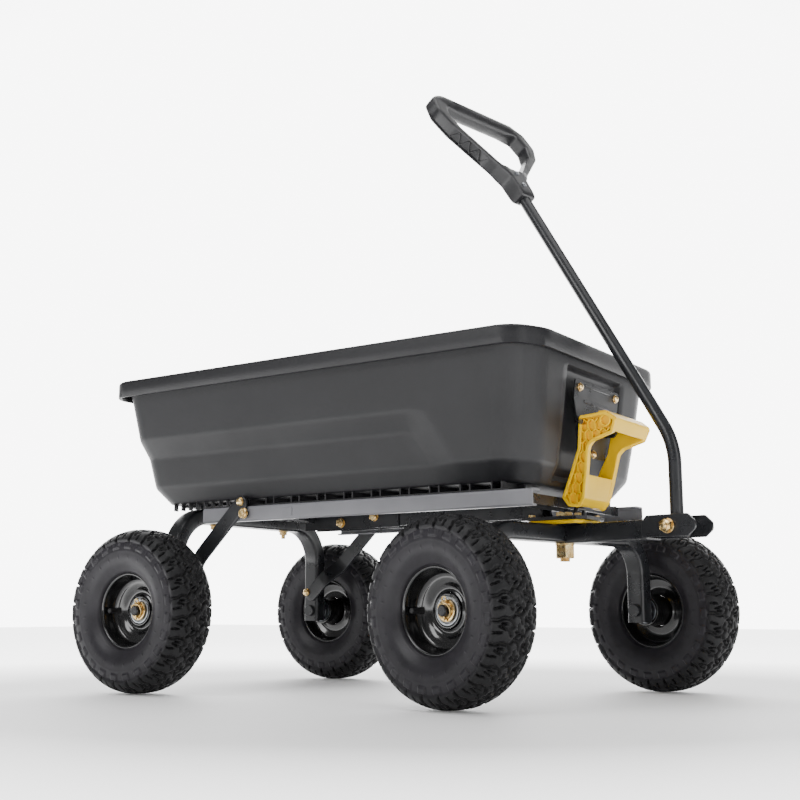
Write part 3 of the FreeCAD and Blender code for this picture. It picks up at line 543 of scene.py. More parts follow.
# ------------------------------------------------------------------ wheels
HALF_TRACK = 260.0
HUB_OUT, HUB_IN = 4.0, -50.0  # ends of the hub, from the middle of the wheel
HUB_RADIUS, BEARING_RADIUS, AXLE_RADIUS = 24.0, 20.0, 7.95
LEG_OF = {"rear": 190.0, "front": 195.0}  # middle of each axle leg, from the middle plane
TUBE_HALF = 13.0
PITCHES, COLUMNS = 24, 24
TREAD_HEIGHT = 3.8
CROWN_RADIUS = AXLE_Z - TREAD_HEIGHT
GROOVES = (  # start, stop (along, across) and half width, on one side of the crown
    ((0, 0), (6, 7), 1.5), ((6, 7), (3, 15), 1.5), ((3, 15), (11, 21), 1.4),
    ((11, 21), (9, 31), 1.5), ((9, 31), (13, 38), 1.6), ((13, 38), (13, 50), 1.8),
    ((6, 7), (15, 4), 1.2), ((0, 0), (-8, 3), 1.2), ((11, 21), (20, 17), 1.2),
    ((20, 17), (24, 23), 1.2), ((24, 23), (31, 20), 1.2), ((18, 10), (26, 8), 0.9),
    ((26, 8), (27, 13), 0.9), ((24, 28), (21, 36), 0.9), ((29, 33), (31, 42), 0.9),
    ((17, 27), (17, 33), 0.8), ((30, 6), (33, 12), 0.8))


def step(values, width=1.0):
    """Smooth rise from 0 to 1 as values go from 0 to width."""
    share = np.clip(values / width, 0, 1)
    return share * share * (3 - 2 * share)


def casing_section():
    """(radius, along) of the bare casing from bead to bead over the crown, with the distance
    from the crown along it."""
    half = chaikin([(56.0, 25.5), (59.8, 29.6), (61.2, 33.4), (68.5, 38.8), (80, 43.0), (93, 43.8),
                    (106, 42.8), (115.5, 37.4), (122.5, 27.5), (CROWN_RADIUS, 14),
                    (CROWN_RADIUS, 0)], 4)[::-1]
    run = np.concatenate([[0], np.cumsum(np.linalg.norm(np.diff(half, axis=0), axis=1))])
    tread = np.arange(0, 58, 1.3)
    flank = np.linspace(58, run[-1], 28)
    far = np.concatenate([tread, flank])
    radius, along = np.interp(far, run, half[:, 0]), np.interp(far, run, half[:, 1])
    far = np.concatenate([-far[:0:-1], far])
    return np.stack([np.concatenate([radius[:0:-1], radius]),
                     np.concatenate([-along[:0:-1], along])], 1), far


def tread_relief(far):
    """Height of the blocks, shoulder pads and sidewall marks over one pitch: full height
    where the nearest groove is far enough away, none in it."""
    pitch = 2 * math.pi * AXLE_Z / PITCHES
    along = pitch * np.arange(COLUMNS)[None, :] / COLUMNS
    across = np.abs(far)[:, None]
    along = along + np.where(far[:, None] < 0, pitch / 2, 0)
    along, across = np.broadcast_arrays(along % pitch, across)
    gap = np.full(along.shape, 99.0)
    for (u0, v0), (u1, v1), half_width in GROOVES:
        length = (u1 - u0) ** 2 + (v1 - v0) ** 2
        for shift in (-pitch, 0, pitch):
            u, v = along - u0 - shift, across - v0
            share = np.clip((u * (u1 - u0) + v * (v1 - v0)) / length, 0, 1)
            reach = np.hypot(u - share * (u1 - u0), v - share * (v1 - v0))
            gap = np.minimum(gap, reach - half_width)
    blocks = step(gap, 1.3) * (1 - step(across - 44, 5))
    pad = step(np.minimum(9.5 - np.abs((along - 13 - pitch / 2) % pitch - pitch / 2),
                          5.2 - np.abs(across - 53)), 1.4)
    ring = (np.exp(-((across - 62) / 1.1) ** 2) * 0.35 +
            step(across - 92, 3) * (1 - step(across - 99, 3)))
    fine = np.where((across > 82) & (across < 90), 0.3 * np.cos(across * math.pi), 0)
    dots = np.exp(-(((along - pitch / 2) / 1.3) ** 2) - ((across - 72) / 1.3) ** 2) * 0.9
    height = TREAD_HEIGHT * blocks + 1.8 * pad + ring * 0.8 + fine * 0.5 + dots
    raised = np.clip(blocks + pad, 0, 1)
    return height, raised


def tyre_surface():
    """Casing with its relief pushed out along the section's normal, then a plain inner lining."""
    section, far = casing_section()
    height, raised = tread_relief(far)
    tangent = unit(np.gradient(section, axis=0))
    normal = np.stack([tangent[:, 1], -tangent[:, 0]], 1)
    normal *= np.sign(normal[len(normal) // 2, 0])
    height, raised = np.tile(height, (1, PITCHES)), np.tile(raised, (1, PITCHES))
    radius = section[:, :1] + normal[:, :1] * height
    along = section[:, 1:2] + normal[:, 1:2] * height
    lining = chaikin([(54.6, 24.0), (60, 27), (72, 34), (92, 38), (110, 32), (117, 14), (117, 0),
                      (117, -14), (110, -32), (92, -38), (72, -34), (60, -27), (54.6, -24.0)], 1)
    if lining[0, 1] * section[0, 1] > 0:
        lining = lining[::-1]
    count = PITCHES * COLUMNS
    radius = np.concatenate([radius, np.repeat(lining[:, :1], count, 1)])
    along = np.concatenate([along, np.repeat(lining[:, 1:2], count, 1)])
    angle = np.linspace(0, 2 * math.pi, count, endpoint=False)[None, :]
    points = np.stack([radius * np.cos(angle), along, radius * np.sin(angle)], -1)
    inner = np.zeros((len(lining), count))
    flank = np.broadcast_to(step(np.abs(far)[:, None] - 42, 8), height.shape)
    # raised marks the blocks and pads and flank the sidewall. The rubber uses them to paint the grooves darker as
    # painted shade and to paint the flank lighter as painted sheen.
    return points, {"raised": np.concatenate([raised, inner]).ravel(),
                    "flank": np.concatenate([flank, inner]).ravel()}


def pressed_sheet(centreline, thickness):
    """A sheet's closed section: its centreline offset by half the thickness to both sides."""
    tangent = unit(np.gradient(centreline, axis=0))
    normal = np.stack([-tangent[:, 1], tangent[:, 0]], 1) * thickness / 2
    return np.concatenate([centreline + normal, (centreline - normal)[::-1]])


def rim_halves():
    """Two pressed half rims back to back: rolled lip, barrel, drop and disc, and the hub
    tube that they are welded to."""
    lip = [(58.6, 26.8), (60.0, 28.4), (58.4, 29.9), (56.4, 29.0), (55.4, 24), (54.0, 12)]
    outer_disc = [(51.5, 6.5), (47.5, 4.6), (43, 4.2), (38, 2.2), (33, -1.6), (28, -2.2),
                  (24.6, -0.4)]
    inner_disc = [(51.5, 8.5), (46, 6.0), (40, 3.4), (33, 4.2), (28, 4.8), (24.6, 6.6)]
    parts = []
    for disc, way in ((outer_disc, 1), (inner_disc, -1)):
        line = chaikin(lip + disc, 3) * (1, way)
        parts.append(grid(lathe(pressed_sheet(line, 1.9)), loop=True))
    low, high, bore = HUB_IN + 0.2, HUB_OUT - 0.2, BEARING_RADIUS + 0.1
    tube = rounded([(HUB_RADIUS, low), (HUB_RADIUS, high), (bore, high), (bore, low)], 0.9, 4)
    parts.append(grid(lathe(tube), loop=True))
    return parts


def bearing_rings():
    """Each bearing: outer race, sunk seal and inner race in one stepped section."""
    parts = []
    for face, sign in ((HUB_OUT, 1), (HUB_IN, -1)):
        steps = [(19.95, 0), (17.2, 0), (16.9, -0.9), (11.8, -0.9), (11.5, 0), (8.05, 0),
                 (8.05, -11), (19.95, -11)]
        section = np.array([(radius, face + sign * depth) for radius, depth in steps])
        parts.append(grid(lathe(rounded(section, 0.25, 3), 72), loop=True))
    return parts


def valve_parts():
    """Tapered rubber stem with a ribbed cap: the cap's radius waves round its axis."""
    angle = np.linspace(0, 2 * math.pi, 60, endpoint=False)[None, :]
    profile = chaikin([(5.4, 5.2), (5.0, 7.5), (3.9, 10), (3.6, 17), (4.1, 17.4), (4.1, 24.6),
                       (3.4, 25.6), (0.6, 25.8)], 2)
    wave = np.where((profile[:, 1:2] > 18) & (profile[:, 1:2] < 24.6), 0.22, 0) * np.cos(15 * angle)
    radius = profile[:, :1] + wave
    points = np.stack([radius * np.cos(angle) + 46.0, profile[:, 1:2] + 0 * angle,
                       radius * np.sin(angle)], -1)
    return [grid(points)]


def split_pin(along_axle):
    """A cotter through the axle: upright pin, eye above and a leg wrapped round the axle."""
    turn = np.linspace(0, 2 * math.pi, 37)[:, None]
    flat = np.zeros_like(turn)
    pin = np.stack([np.zeros(9), np.full(9, along_axle), np.linspace(-14, 12, 9)], 1)
    eye = np.concatenate([3.6 * np.cos(turn), flat + along_axle, 3.6 * np.sin(turn) + 15.2], 1)
    wrap = np.concatenate([10.6 * np.cos(turn), along_axle + 2.6 * np.sin(turn),
                           10.6 * np.sin(turn)], 1)
    wire = circle(1.15, 12)
    parts = [grid(carried(pin, circle(1.65, 16), (0, 1, 0)))]
    for ring in (eye[:-1], wrap[:-1]):
        out = unit(ring - ring.mean(0))
        side = unit(np.cross(np.roll(ring, -1, 0) - np.roll(ring, 1, 0), out))
        parts.append(grid(ring[:, None] + wire[None, :, :1] * out[:, None] +
                          wire[None, :, 1:2] * side[:, None], loop=True))
    return parts


TYRE, TYRE_MARKS = tyre_surface()
WHEEL_SIDES = (("left", 1.0), ("right", -1.0))


def wheel(end, side, sign):
    """Tyre, rim, bearings and valve, drawn with the outer face towards +Y and then placed."""
    joint = JOINT[f"wheel_{end}_{side}_roll"]
    centre = np.array(joint["pos_m"]) / MM
    out = np.array(joint["axis"], float) * sign
    ahead = np.cross(out, UP)

    def here(points):
        return placed(points, centre, ahead, out, UP)

    tag, body = f"{end}_{side}", f"wheel_{end}_{side}"
    piece(f"treaded_tyre_{tag}", [grid(TYRE, loop=True)], body, "tyre_rubber", [f"tyre_{tag}"],
          here, 60, TYRE_MARKS)
    piece(f"pressed_rim_{tag}", rim_halves(), body, "rim_gloss_black", [f"rim_{tag}"], here)
    piece(f"sealed_bearings_{tag}", bearing_rings(), body, "bearing_steel",
          [f"bearings_{tag}"], here)
    piece(f"valve_stem_{tag}", valve_parts(), body, "valve_rubber", [f"valve_{tag}"], here)
    return here


def stub_axle(leg):
    """Stub axle from its outer end, past the collar between hub and leg, to its inner head."""
    head = leg - TUBE_HALF - HALF_TRACK
    hub, collar = HUB_IN - 0.3, head + 2 * TUBE_HALF + 0.3
    profile = np.array([(0.5, 16), (6.6, 16), (AXLE_RADIUS, 14.6), (AXLE_RADIUS, hub), (12.0, hub),
                        (12.5, hub - 0.5), (12.5, collar + 0.5), (12.0, collar),
                        (AXLE_RADIUS, collar), (AXLE_RADIUS, head), (10, head - 0.3),
                        (10, head - 5.4), (9.4, head - 6.3), (0.5, head - 6.3)])
    return grid(lathe(profile, 64))


for end, holder in (("rear", "bed"), ("front", "front_axle")):
    washers, pins = [], []
    for side, sign in WHEEL_SIDES:
        here = wheel(end, side, sign)
        for radius, low, high in ((15.0, 4.4, 6.4), (11.5, 6.5, 8.2)):
            ring = rounded([(radius, low), (radius, high), (8.0, high), (8.0, low)], 0.35, 3)
            washers.append(moved(grid(lathe(ring, 72), loop=True), here))
        pins += [moved(part, here) for part in split_pin(10.0)]
        piece(f"stub_axle_{end}_{side}", [stub_axle(LEG_OF[end])], holder, "black_powder_coat",
              [f"axle_{end}_{side}"], here)
    piece(f"hub_washers_{end}", washers, holder, "yellow_zinc", [f"axle_washers_{end}"])
    piece(f"split_pins_{end}", pins, holder, "yellow_zinc", [f"cotter_pins_{end}"])


# ------------------------------------------------------------------ tub
WALL_Z = (308, 336, 387, 417, 520)
RECESSED = (182, 195, 201, 216, 229)
PROUD = (182, 206, 212.4, 216, 229)
FRONT_WALL = (652, 669, 677, 681, 693)
REAR_WALL = (-37, -63, -75, -84, -103)
SOFTEN = np.linspace(-3.5, 3.5, 8)
RIM_TOP, RIM_LOW, WALL = 520.0, 492.0, 4.0
LATCH_BAY = 92.0


def eased(z, levels):
    """A wall's distance at a height: straight between levels, averaged over a few millimetres
    so that its bends are rounded."""
    return float(np.mean(np.interp(z + SOFTEN, WALL_Z, levels)))


def tub_ring(z, rear_half, front_half, front, rear, radius, step_edges=None, bay=0.0, shrink=0.0):
    """One closed ring of the tub.  The left half runs from the middle of the rear, round the
    small rear corner, along the side and over the two-step front corner to the middle of the
    front; the right half is its mirror.  step_edges holds the X where the side's recess ends
    and where the proud front panel begins; bay is the depth of the latch bay."""
    rear_half, front_half = rear_half - shrink, front_half - shrink
    front, rear = front - shrink, rear + shrink
    slant, run, side_radius, nose_radius = 27.0, 54.0, 45.0, 70.0
    turn_side = math.atan2(run, slant)
    turn_nose = math.pi / 2 - turn_side
    reach_side = side_radius * math.tan(turn_side / 2)
    reach_nose = nose_radius * math.tan(turn_nose / 2)
    start_edge, stop_edge = step_edges or (430.0, 520.0)

    back = np.stack([np.full(8, rear), np.linspace(0, rear_half - radius, 9)[:-1]], 1)
    angle = np.linspace(math.pi, math.pi / 2, 11)[:-1]
    corner = np.stack([rear + radius + radius * np.cos(angle),
                       rear_half - radius + radius * np.sin(angle)], 1)
    stop = front - slant - reach_side
    x = np.concatenate([np.linspace(rear + radius, start_edge, 25)[:-1],
                        np.linspace(start_edge, stop_edge, 11)[:-1],
                        np.linspace(stop_edge, stop, 11)[:-1]])
    along = (x[:, None] + 0.6 * SOFTEN - start_edge) / (stop_edge - start_edge)
    share = np.clip(along, 0, 1).mean(1)
    side = np.stack([x, rear_half + (front_half - rear_half) * share], 1)
    angle = np.linspace(math.pi / 2, math.pi / 2 - turn_side, 11)
    shoulder = np.stack([stop + side_radius * np.cos(angle),
                         front_half - side_radius + side_radius * np.sin(angle)], 1)
    slope = np.array([slant, -run]) / math.hypot(slant, run)
    nose_corner = np.array([front, front_half - run])
    nose_start = nose_corner - slope * reach_nose
    ramp = shoulder[-1] + (nose_start - shoulder[-1]) * np.linspace(0, 1, 5)[1:-1, None]
    angle = np.linspace(turn_nose, 0, 9)
    nose = np.stack([front - nose_radius + nose_radius * np.cos(angle),
                     front_half - run - reach_nose + nose_radius * np.sin(angle)], 1)
    y = np.concatenate([np.linspace(nose[-1, 1], LATCH_BAY + 3, 5)[1:-1],
                        LATCH_BAY + np.linspace(3, -3, 7), np.linspace(LATCH_BAY - 3, 0, 9)[1:]])
    depth = bay * step(LATCH_BAY + 3 - y, 6.0)
    face = np.stack([front - depth, y], 1)
    half = np.concatenate([back, corner, side, shoulder, ramp, nose, face])
    ring = np.concatenate([half, half[-2:0:-1] * (1, -1)])
    return np.column_stack([ring, np.full(len(ring), z)])


def wall_ring(z, shrink=0.0):
    """Ring of the side walls at a height, with the slanted end of the recess."""
    edges = (np.interp(z, (344, 388), (510, 481)), np.interp(z, (340, 417), (562, 517)))
    bay = 12.0 * float(step(np.array(z - 316.0), 8.0) * step(np.array(484.0 - z), 5.0))
    return tub_ring(z, eased(z, RECESSED), eased(z, PROUD), eased(z, FRONT_WALL),
                    eased(z, REAR_WALL), 35.0, edges, bay, shrink)


def rim_ring(z, shrink=0.0):
    return tub_ring(z, 240.0, 240.0, 703.0, -120.0, 40.0, shrink=shrink)


def tub_shell():
    """One closed skin: the floor's underside, the outer wall, the turned-down rim and its
    rounded top, the inner wall and the inner floor."""
    rise = np.concatenate([np.linspace(311, 330, 5), np.linspace(332, 341, 6),
                           np.linspace(345, 380, 6), np.linspace(382, 392, 6),
                           np.linspace(396, 411, 4), np.linspace(413, 422, 6),
                           np.linspace(430, 478, 6), np.linspace(480, 486, 4), [500, 515]])
    rings = [wall_ring(308, 12), wall_ring(308.0, 3), wall_ring(308.8, 0.8)]
    rings += [wall_ring(z) for z in rise]
    rings += [rim_ring(515.8, 6), rim_ring(514.5, WALL), rim_ring(500, WALL), rim_ring(493, WALL),
              rim_ring(RIM_LOW, WALL - 0.8), rim_ring(RIM_LOW, 0.8), rim_ring(RIM_LOW + 0.8),
              rim_ring(506), rim_ring(514.5), rim_ring(517.6, 0.7), rim_ring(519.3, 2.4),
              rim_ring(RIM_TOP, 5.0), rim_ring(RIM_TOP, 8.0)]
    rings += [wall_ring(519.6, WALL - 1.5), wall_ring(518, WALL)]
    rings += [wall_ring(z, WALL) for z in rise[::-1][1:]]
    rings += [wall_ring(312.6, WALL + 1), wall_ring(312, WALL + 5)]
    return grid(np.stack(rings))


def tub_ribs():
    """Stiffening ribs under the floor, along and across with slanted webs between, and short
    gussets under the front and rear rim."""
    low, high, inner, outer, ahead = 296.4, 309.0, 134.0, 181.0, 636.0
    parts = []
    for sign in (-1.0, 1.0):
        for y, first, top in ((inner, 128.0, high), (outer - 1, 60.0, low + 2.4)):
            parts.append(bars(plan(first, sign * y), plan(ahead, sign * y), 2.6, low, top))
        pair = np.arange(140.0, 630.0, 52.0)
        cross = np.concatenate([pair, pair + 16.0])
        parts.append(bars(plan(cross, sign * inner), plan(cross, sign * outer), 2.2, low, high))
        rear = np.arange(-16.0, 120.0, 17.0)
        parts.append(bars(plan(rear, sign * 168), plan(rear + 5, sign * outer), 2.2, low, high))
    for edge, x, x_end in ((np.arange(-126.0, 127.0, 14.0), 689.0, 700.5),
                           (np.arange(-180.0, 181.0, 24.0), -117.0, -101.0)):
        parts.append(bars(plan(x, edge), plan(x_end, edge), 2.4, 499.0, 516.5))
    return parts


piece("moulded_tub", [tub_shell()] + tub_ribs(), "bed", "tub_polyethylene", ["tub"], on_bed, 50)


# ------------------------------------------------------------------ bed frame and running gear
RAIL_HALF, RAIL_TOP, RAIL_LOW = 190.0, 296.0, 272.0


def rail(sign):
    """Folded rail: a lipped channel section with rounded bends carried along X, with a
    lanced tab's outline pressed in its web."""
    web = 2.5
    corners = np.array([(RAIL_HALF - 12, RAIL_LOW), (RAIL_HALF, RAIL_LOW), (RAIL_HALF, RAIL_TOP),
                        (RAIL_HALF - 24, RAIL_TOP), (RAIL_HALF - 24, RAIL_TOP - web),
                        (RAIL_HALF - web, RAIL_TOP - web), (RAIL_HALF - web, RAIL_LOW + web),
                        (RAIL_HALF - 12, RAIL_LOW + web)])
    section = rounded(corners, (0.6, 3.0, 3.0, 0.6, 0.6, 1.0, 1.0, 0.6), 5)
    section[:, 0] *= sign
    parts = [grid(np.stack([np.column_stack([np.full(len(section), x), section])
                            for x in (64.0, 370.0, 677.0)]))]
    tab = rounded([(233, 275), (254, 275), (254, 290), (233, 290)], (1, 1, 3, 3), 4)
    for outline, low, high in ((tab, 0.0, 0.7), (inset(tab, 1.6), 0.0, 0.25)):
        face = plate(outline, low, high, 0.2)
        out = sign * (RAIL_HALF + face[..., 2])
        parts.append(grid(np.stack([face[..., 0], out, face[..., 1]], -1)))
    return [moved(part, on_bed) for part in parts]


def arch(leg, height, bend, to_row):
    """Rectangular tube with rounded corners bent over the cart; its walls return inside at
    both open ends, so each leg shows a hollow mouth."""
    path = bent([(0, -leg, 111), (0, -leg, height), (0, leg, height), (0, leg, 111)],
                (0, bend, bend, 0), 22)
    outer = rounded([(-15.5, -13), (15.5, -13), (15.5, 13), (-15.5, 13)], 4.5, 5)
    inner = rounded([(-13, -10.5), (13, -10.5), (13, 10.5), (-13, 10.5)], 2.2, 5)
    skin = carried(path, outer, (1, 0, 0))
    hollow = carried(path, inner, (1, 0, 0))[::-1]
    return [moved(grid(np.concatenate([skin, hollow]), loop=True), to_row)]


def upright(points):
    """Plan (x, z) with the thickness across the cart."""
    return np.stack([points[:, 0], points[:, 2], points[:, 1]], 1)


def hexagon_head(at, along, across, height, flange=0.0, tail=0.0, tail_radius=0.0, domed=False):
    """A bolt head or nut on an axis: a hexagon whose radius is half its width over the cosine
    of the angle from a flat's middle, chamfered at its corners, with an optional washer
    below, and a threaded tail above made of ridges a pitch apart."""
    along = unit(np.array(along, float))
    across_axis = unit(np.cross(along, UP if abs(along[2]) < 0.9 else np.array([1.0, 0, 0])))
    third = np.cross(along, across_axis)
    count = 48
    angle = np.linspace(0, 2 * math.pi, count, endpoint=False)
    flat = (angle + math.pi / 6) % (math.pi / 3) - math.pi / 6
    wide = across / 2 / np.cos(flat)
    parts = []

    def ring(radius, height_at):
        radius, height_at = np.broadcast_to(radius, count), np.broadcast_to(height_at, count)
        return np.stack([radius * np.cos(angle), radius * np.sin(angle), height_at], 1)

    base = 0.0
    if flange:
        base = 1.6
        parts.append(np.stack([ring(flange - 0.3, 0.0), ring(flange, 0.3), ring(flange, 1.3),
                               ring(flange - 0.3, base)]))
    fall = (wide - across / 2 * 0.98) * 0.58
    top = [ring(across / 2 * 0.95, height)]
    if domed:
        top = [ring(across / 2 * 0.95, height), ring(across / 2 * 0.8, height + 1.0),
               ring(across / 2 * 0.5, height + 1.8)]
    parts.append(np.stack([ring(wide - 0.3, base), ring(wide, base + 0.3),
                           ring(wide, height - fall - 0.2)] + top))
    if tail:
        pitch = 1.5
        steps = np.arange(height - 0.5, height + tail, pitch / 2)
        ridge = tail_radius - 0.55 * (np.arange(len(steps)) % 2)
        rings = [ring(r, h) for r, h in zip(ridge, steps)]
        parts.append(np.stack(rings + [ring(tail_radius - 1.2, height + tail)]))
    return [moved(grid(part), lambda p: placed(p, at, across_axis, third, along)) for part in parts]


def cross_bar(x, z, start, stop, radius, facets):
    """Straight round bar across the cart."""
    return grid(carried(np.linspace((x, start, z), (x, stop, z), 2), circle(radius, facets),
                        (1, 0, 0)))


for side, sign in WHEEL_SIDES:
    piece(f"folded_rail_{side}", rail(sign), "bed", "rail_grey_coat", [f"side_rail_{side}"])
piece("bent_rear_arch", arch(LEG_OF["rear"], 290.0, 71.0, on_bed), "bed", "black_powder_coat",
      ["rear_axle_arch"])
saddle = rounded([(-44, -28), (-38, -34), (38, -34), (44, -28), (44, 28), (38, 34), (-38, 34),
                  (-44, 28)], 3, 4)
piece("bent_front_arch", arch(LEG_OF["front"], 243.5, 57.0, on_front) +
      [moved(grid(plate(saddle, 256.4, 257.1, 0.3)), on_front)],
      "front_axle", "black_powder_coat", ["front_axle_arch"])


def brace(sign):
    """Flat strut with round ends, joggled from the axle leg out to the rail: its width lies
    in the plane of its slope and its middle line follows the joggle."""
    rise, run, thick, half_width = 142.0, 148.0, 5.0, 13.0
    length = math.hypot(rise, run)
    slope = np.array([run, 0, rise]) / length
    beside = np.array([-rise, 0, run]) / length
    gap = 0.2 + thick / 2
    leg, out = LEG_OF["rear"] - TUBE_HALF - gap, RAIL_HALF + gap
    end = np.sin(np.linspace(0.12, math.pi / 2, 8))
    along = np.concatenate([-8 + 13 * (1 - np.cos(np.linspace(0.12, math.pi / 2, 8))),
                            np.linspace(20, length - 8, 60),
                            length + 12 - 13 * (1 - np.cos(np.linspace(math.pi / 2, 0.12, 8)))])
    wide = half_width * np.concatenate([end, np.ones(60), end[::-1]])
    middle = np.mean([np.interp(along + k, (48, 82), (leg, out)) for k in np.linspace(-9, 9, 7)], 0)
    corner = rounded([(-1, -1), (1, -1), (1, 1), (-1, 1)], 0.2, 3)
    rings = []
    for a, w, m in zip(along, wide, middle):
        across = np.array([2.0, 0, 158.0]) + a * slope
        rings.append(across + corner[:, :1] * w * beside +
                     (m + corner[:, 1:] * thick / 2) * np.array([0, sign, 0]))
    return [moved(grid(np.stack(rings)), on_bed)]


for side, sign in WHEEL_SIDES:
    piece(f"joggled_brace_{side}", brace(sign), "bed", "black_powder_coat", [f"rear_brace_{side}"])

brace_heads = []
for side, sign in WHEEL_SIDES:
    for x, z, y, out in ((150, 303, RAIL_HALF + 5.2, sign),
                         (-5, 165, LEG_OF["rear"] - TUBE_HALF - 5.2, -sign)):
        brace_heads += hexagon_head((x, sign * y, z), (0, out, 0), 12, 3.6, 7.0, domed=True)
piece("brace_fixings", brace_heads, "bed", "yellow_zinc", ["brace_bolts"], on_bed)

rod_half = np.array([0.0, RAIL_HALF + 5, 0.0])
rod_middle = np.array([PIVOT_X, 0.0, PIVOT_Z])
rod = carried(np.linspace(rod_middle - rod_half, rod_middle + rod_half, 3), circle(6.0), (1, 0, 0))
piece("pivot_rod_shank", [grid(rod)], "bed", "black_powder_coat", where=on_bed)
pivot_nuts = []
for sign in (-1.0, 1.0):
    pivot_nuts += hexagon_head((PIVOT_X, sign * (RAIL_HALF + 5.3), PIVOT_Z), (0, sign, 0), 15, 4.8,
                               8.6, 2.5, 4.6)
piece("pivot_rod_nuts", pivot_nuts, "bed", "yellow_zinc", ["bed_pivot_rod"], on_bed)

arch_fixings = []
for y in (-93.0, 93.0):
    arch_fixings += hexagon_head((0, y, 277), (0, 0, -1), 13, 7.4, 9.0, 7.0, 4.0)
    arch_fixings += [grid(plate(circle(4.0, 24), 277, 307, 0.4) + (0, y, 0))]
piece("arch_fixings", arch_fixings, "bed", "yellow_zinc", ["arch_bolts"], on_bed)

spine_fixings = []
for x, z in ((220, 277), (289, 285)):
    spine_fixings += hexagon_head((x, 17.2, z), (0, 1, 0), 13, 5.0, 8.2)
    spine_fixings += hexagon_head((x, -17.2, z), (0, -1, 0), 13, 6.5, 8.2, 2.5, 4.0)
    spine_fixings += [cross_bar(x, z, -18, 18, 4.0, 20)]
piece("spine_fixings", spine_fixings, "chassis", "yellow_zinc", ["spine_bolts"], on_bed)

tub_heads = []
for sign in (-1.0, 1.0):
    for x in (90, 330, 560):
        tub_heads += hexagon_head((x, sign * 176, 293.4), (0, 0, -1), 10, 3.8)
piece("tub_fixings", tub_heads, "bed", "yellow_zinc", ["tub_bolts"], on_bed)

# ------------------------------------------------------------------ steering pivot and tongue
WEAR_LOW, PLATE_LOW = 257.4, 263.4
wear_outline = [(-46, -30), (-36, -40), (36, -40), (46, -30), (46, 30), (36, 40), (-36, 40),
                (-46, 30)]


def on_king(points):
    return on_bed(points + np.array([KING_X, 0.0, 0.0]))


piece("wear_plate_moulding", [grid(plate(rounded(wear_outline, 3, 4), WEAR_LOW, 262.9, 0.8))],
      "chassis", "yellow_plastic", ["steering_wear_plate"], on_king)
king = hexagon_head((0, 0, 230.5 - 3.3), (0, 0, -1), 26.5, 19.5, 0, 5.0, 7.6)
king += [grid(plate(circle(14.5, 48), 227.3, 230.2, 0.5))]
piece("kingpin_nut_detail", king, "chassis", "yellow_zinc", ["kingpin_nut_and_washer"], on_king)
king_shank = [grid(plate(circle(7.9, 40), 226.0, 269.0, 0.5))]
piece("kingpin_detail", hexagon_head((0, 0, 268.4), (0, 0, 1), 24, 8.8) + king_shank, "chassis",
      "yellow_zinc", ["kingpin_bolt"], on_king)
plate_heads = []
for x, y in ((-38, -32), (-38, 32), (38, -32), (38, 32)):
    plate_heads += hexagon_head((x, y, 268.4), (0, 0, 1), 10, 3.9)
piece("plate_fixings", plate_heads, "chassis", "yellow_zinc", ["wear_plate_bolts"], on_king)

tongue_section = rounded([(-20, 229), (20, 229), (20, 257), (-20, 257)], 3.2, 5)
mouth = rounded([(-17.5, 231.5), (17.5, 231.5), (17.5, 254.5), (-17.5, 254.5)], 1.5, 5)
tongue = [np.column_stack([np.full(len(ring), x), ring])
          for ring, places in ((tongue_section, (15.8, 17, 90, 155, 156.6)),
                               (mouth, (156.9, 150, 17.5))) for x in places]
piece("boxed_tongue", [moved(grid(np.stack(tongue), loop=True), on_front)], "front_axle",
      "black_powder_coat", ["tongue_tube"])

CLEVIS_X, CLEVIS_Z = 196.0, 246.0
for side, sign in WHEEL_SIDES:
    ear = [(153, 231), (227, 231), (239, 241), (239, 251), (227, 262), (161, 262), (153, 254)]
    low, high = sign * 21.0, sign * 25.0
    part = grid(plate(rounded(ear, (2, 5, 7, 7, 5, 4, 4), 5), min(low, high), max(low, high), 0.7))
    piece(f"clevis_cheek_{side}", [moved(moved(part, upright), on_front)], "front_axle",
          "black_powder_coat", [f"clevis_ear_{side}"])
bolt = hexagon_head((CLEVIS_X, 25.1, CLEVIS_Z), (0, 1, 0), 17, 5.2)
bolt += [cross_bar(CLEVIS_X, CLEVIS_Z, -36, 26, 4.95, 24)]
piece("handle_bolt_detail", bolt, "front_axle", "yellow_zinc", ["handle_pivot_bolt"], on_front)
nut = hexagon_head((CLEVIS_X, -25.1, CLEVIS_Z), (0, -1, 0), 17, 8.8, 10.5, 3.5, 4.9)
piece("handle_nut_detail", nut, "front_axle", "yellow_zinc", ["handle_pivot_nut"], on_front)


# ------------------------------------------------------------------ pull handle
LEAN = math.radians(31.6)
ALONG = np.array([-math.sin(LEAN), 0.0, math.cos(LEAN)])
BEND = np.array([-36.0, 0.0, 178.0])


def on_handle(points):
    """Points measured from the clevis bolt."""
    return placed(points, CLEVIS, AHEAD, ACROSS, UP)


def on_grip(points):
    """Grip drawn on (across, along the tube, towards the front)."""
    return on_handle(placed(points, BEND, (0, 1, 0), ALONG, (math.cos(LEAN), 0, math.sin(LEAN))))


tube_path = bent([(0, 0, 12.5), (0, 0, 118), BEND, BEND + ALONG * 475], (0, 110, 90, 0), 20)
piece("bent_handle_tube", [moved(grid(carried(tube_path, circle(9.5, 40), (0, 1, 0))), on_handle)],
      "pull_handle", "black_powder_coat", ["handle_tube"])
sleeve = rounded([(15, -20.6), (15, 20.6), (5.1, 20.6), (5.1, -20.6)], 0.8, 4)
piece("welded_sleeve", [moved(grid(lathe(sleeve, 64), loop=True), on_handle)], "pull_handle",
      "black_powder_coat", ["handle_sleeve"])

GRIP_OUTER = ((17, 427), (19, 466), (38, 489), (107, 556), (124, 590), (118, 624), (98, 644))
GRIP_HOLE = ((26, 493), (88, 558), (99, 588), (89, 613))


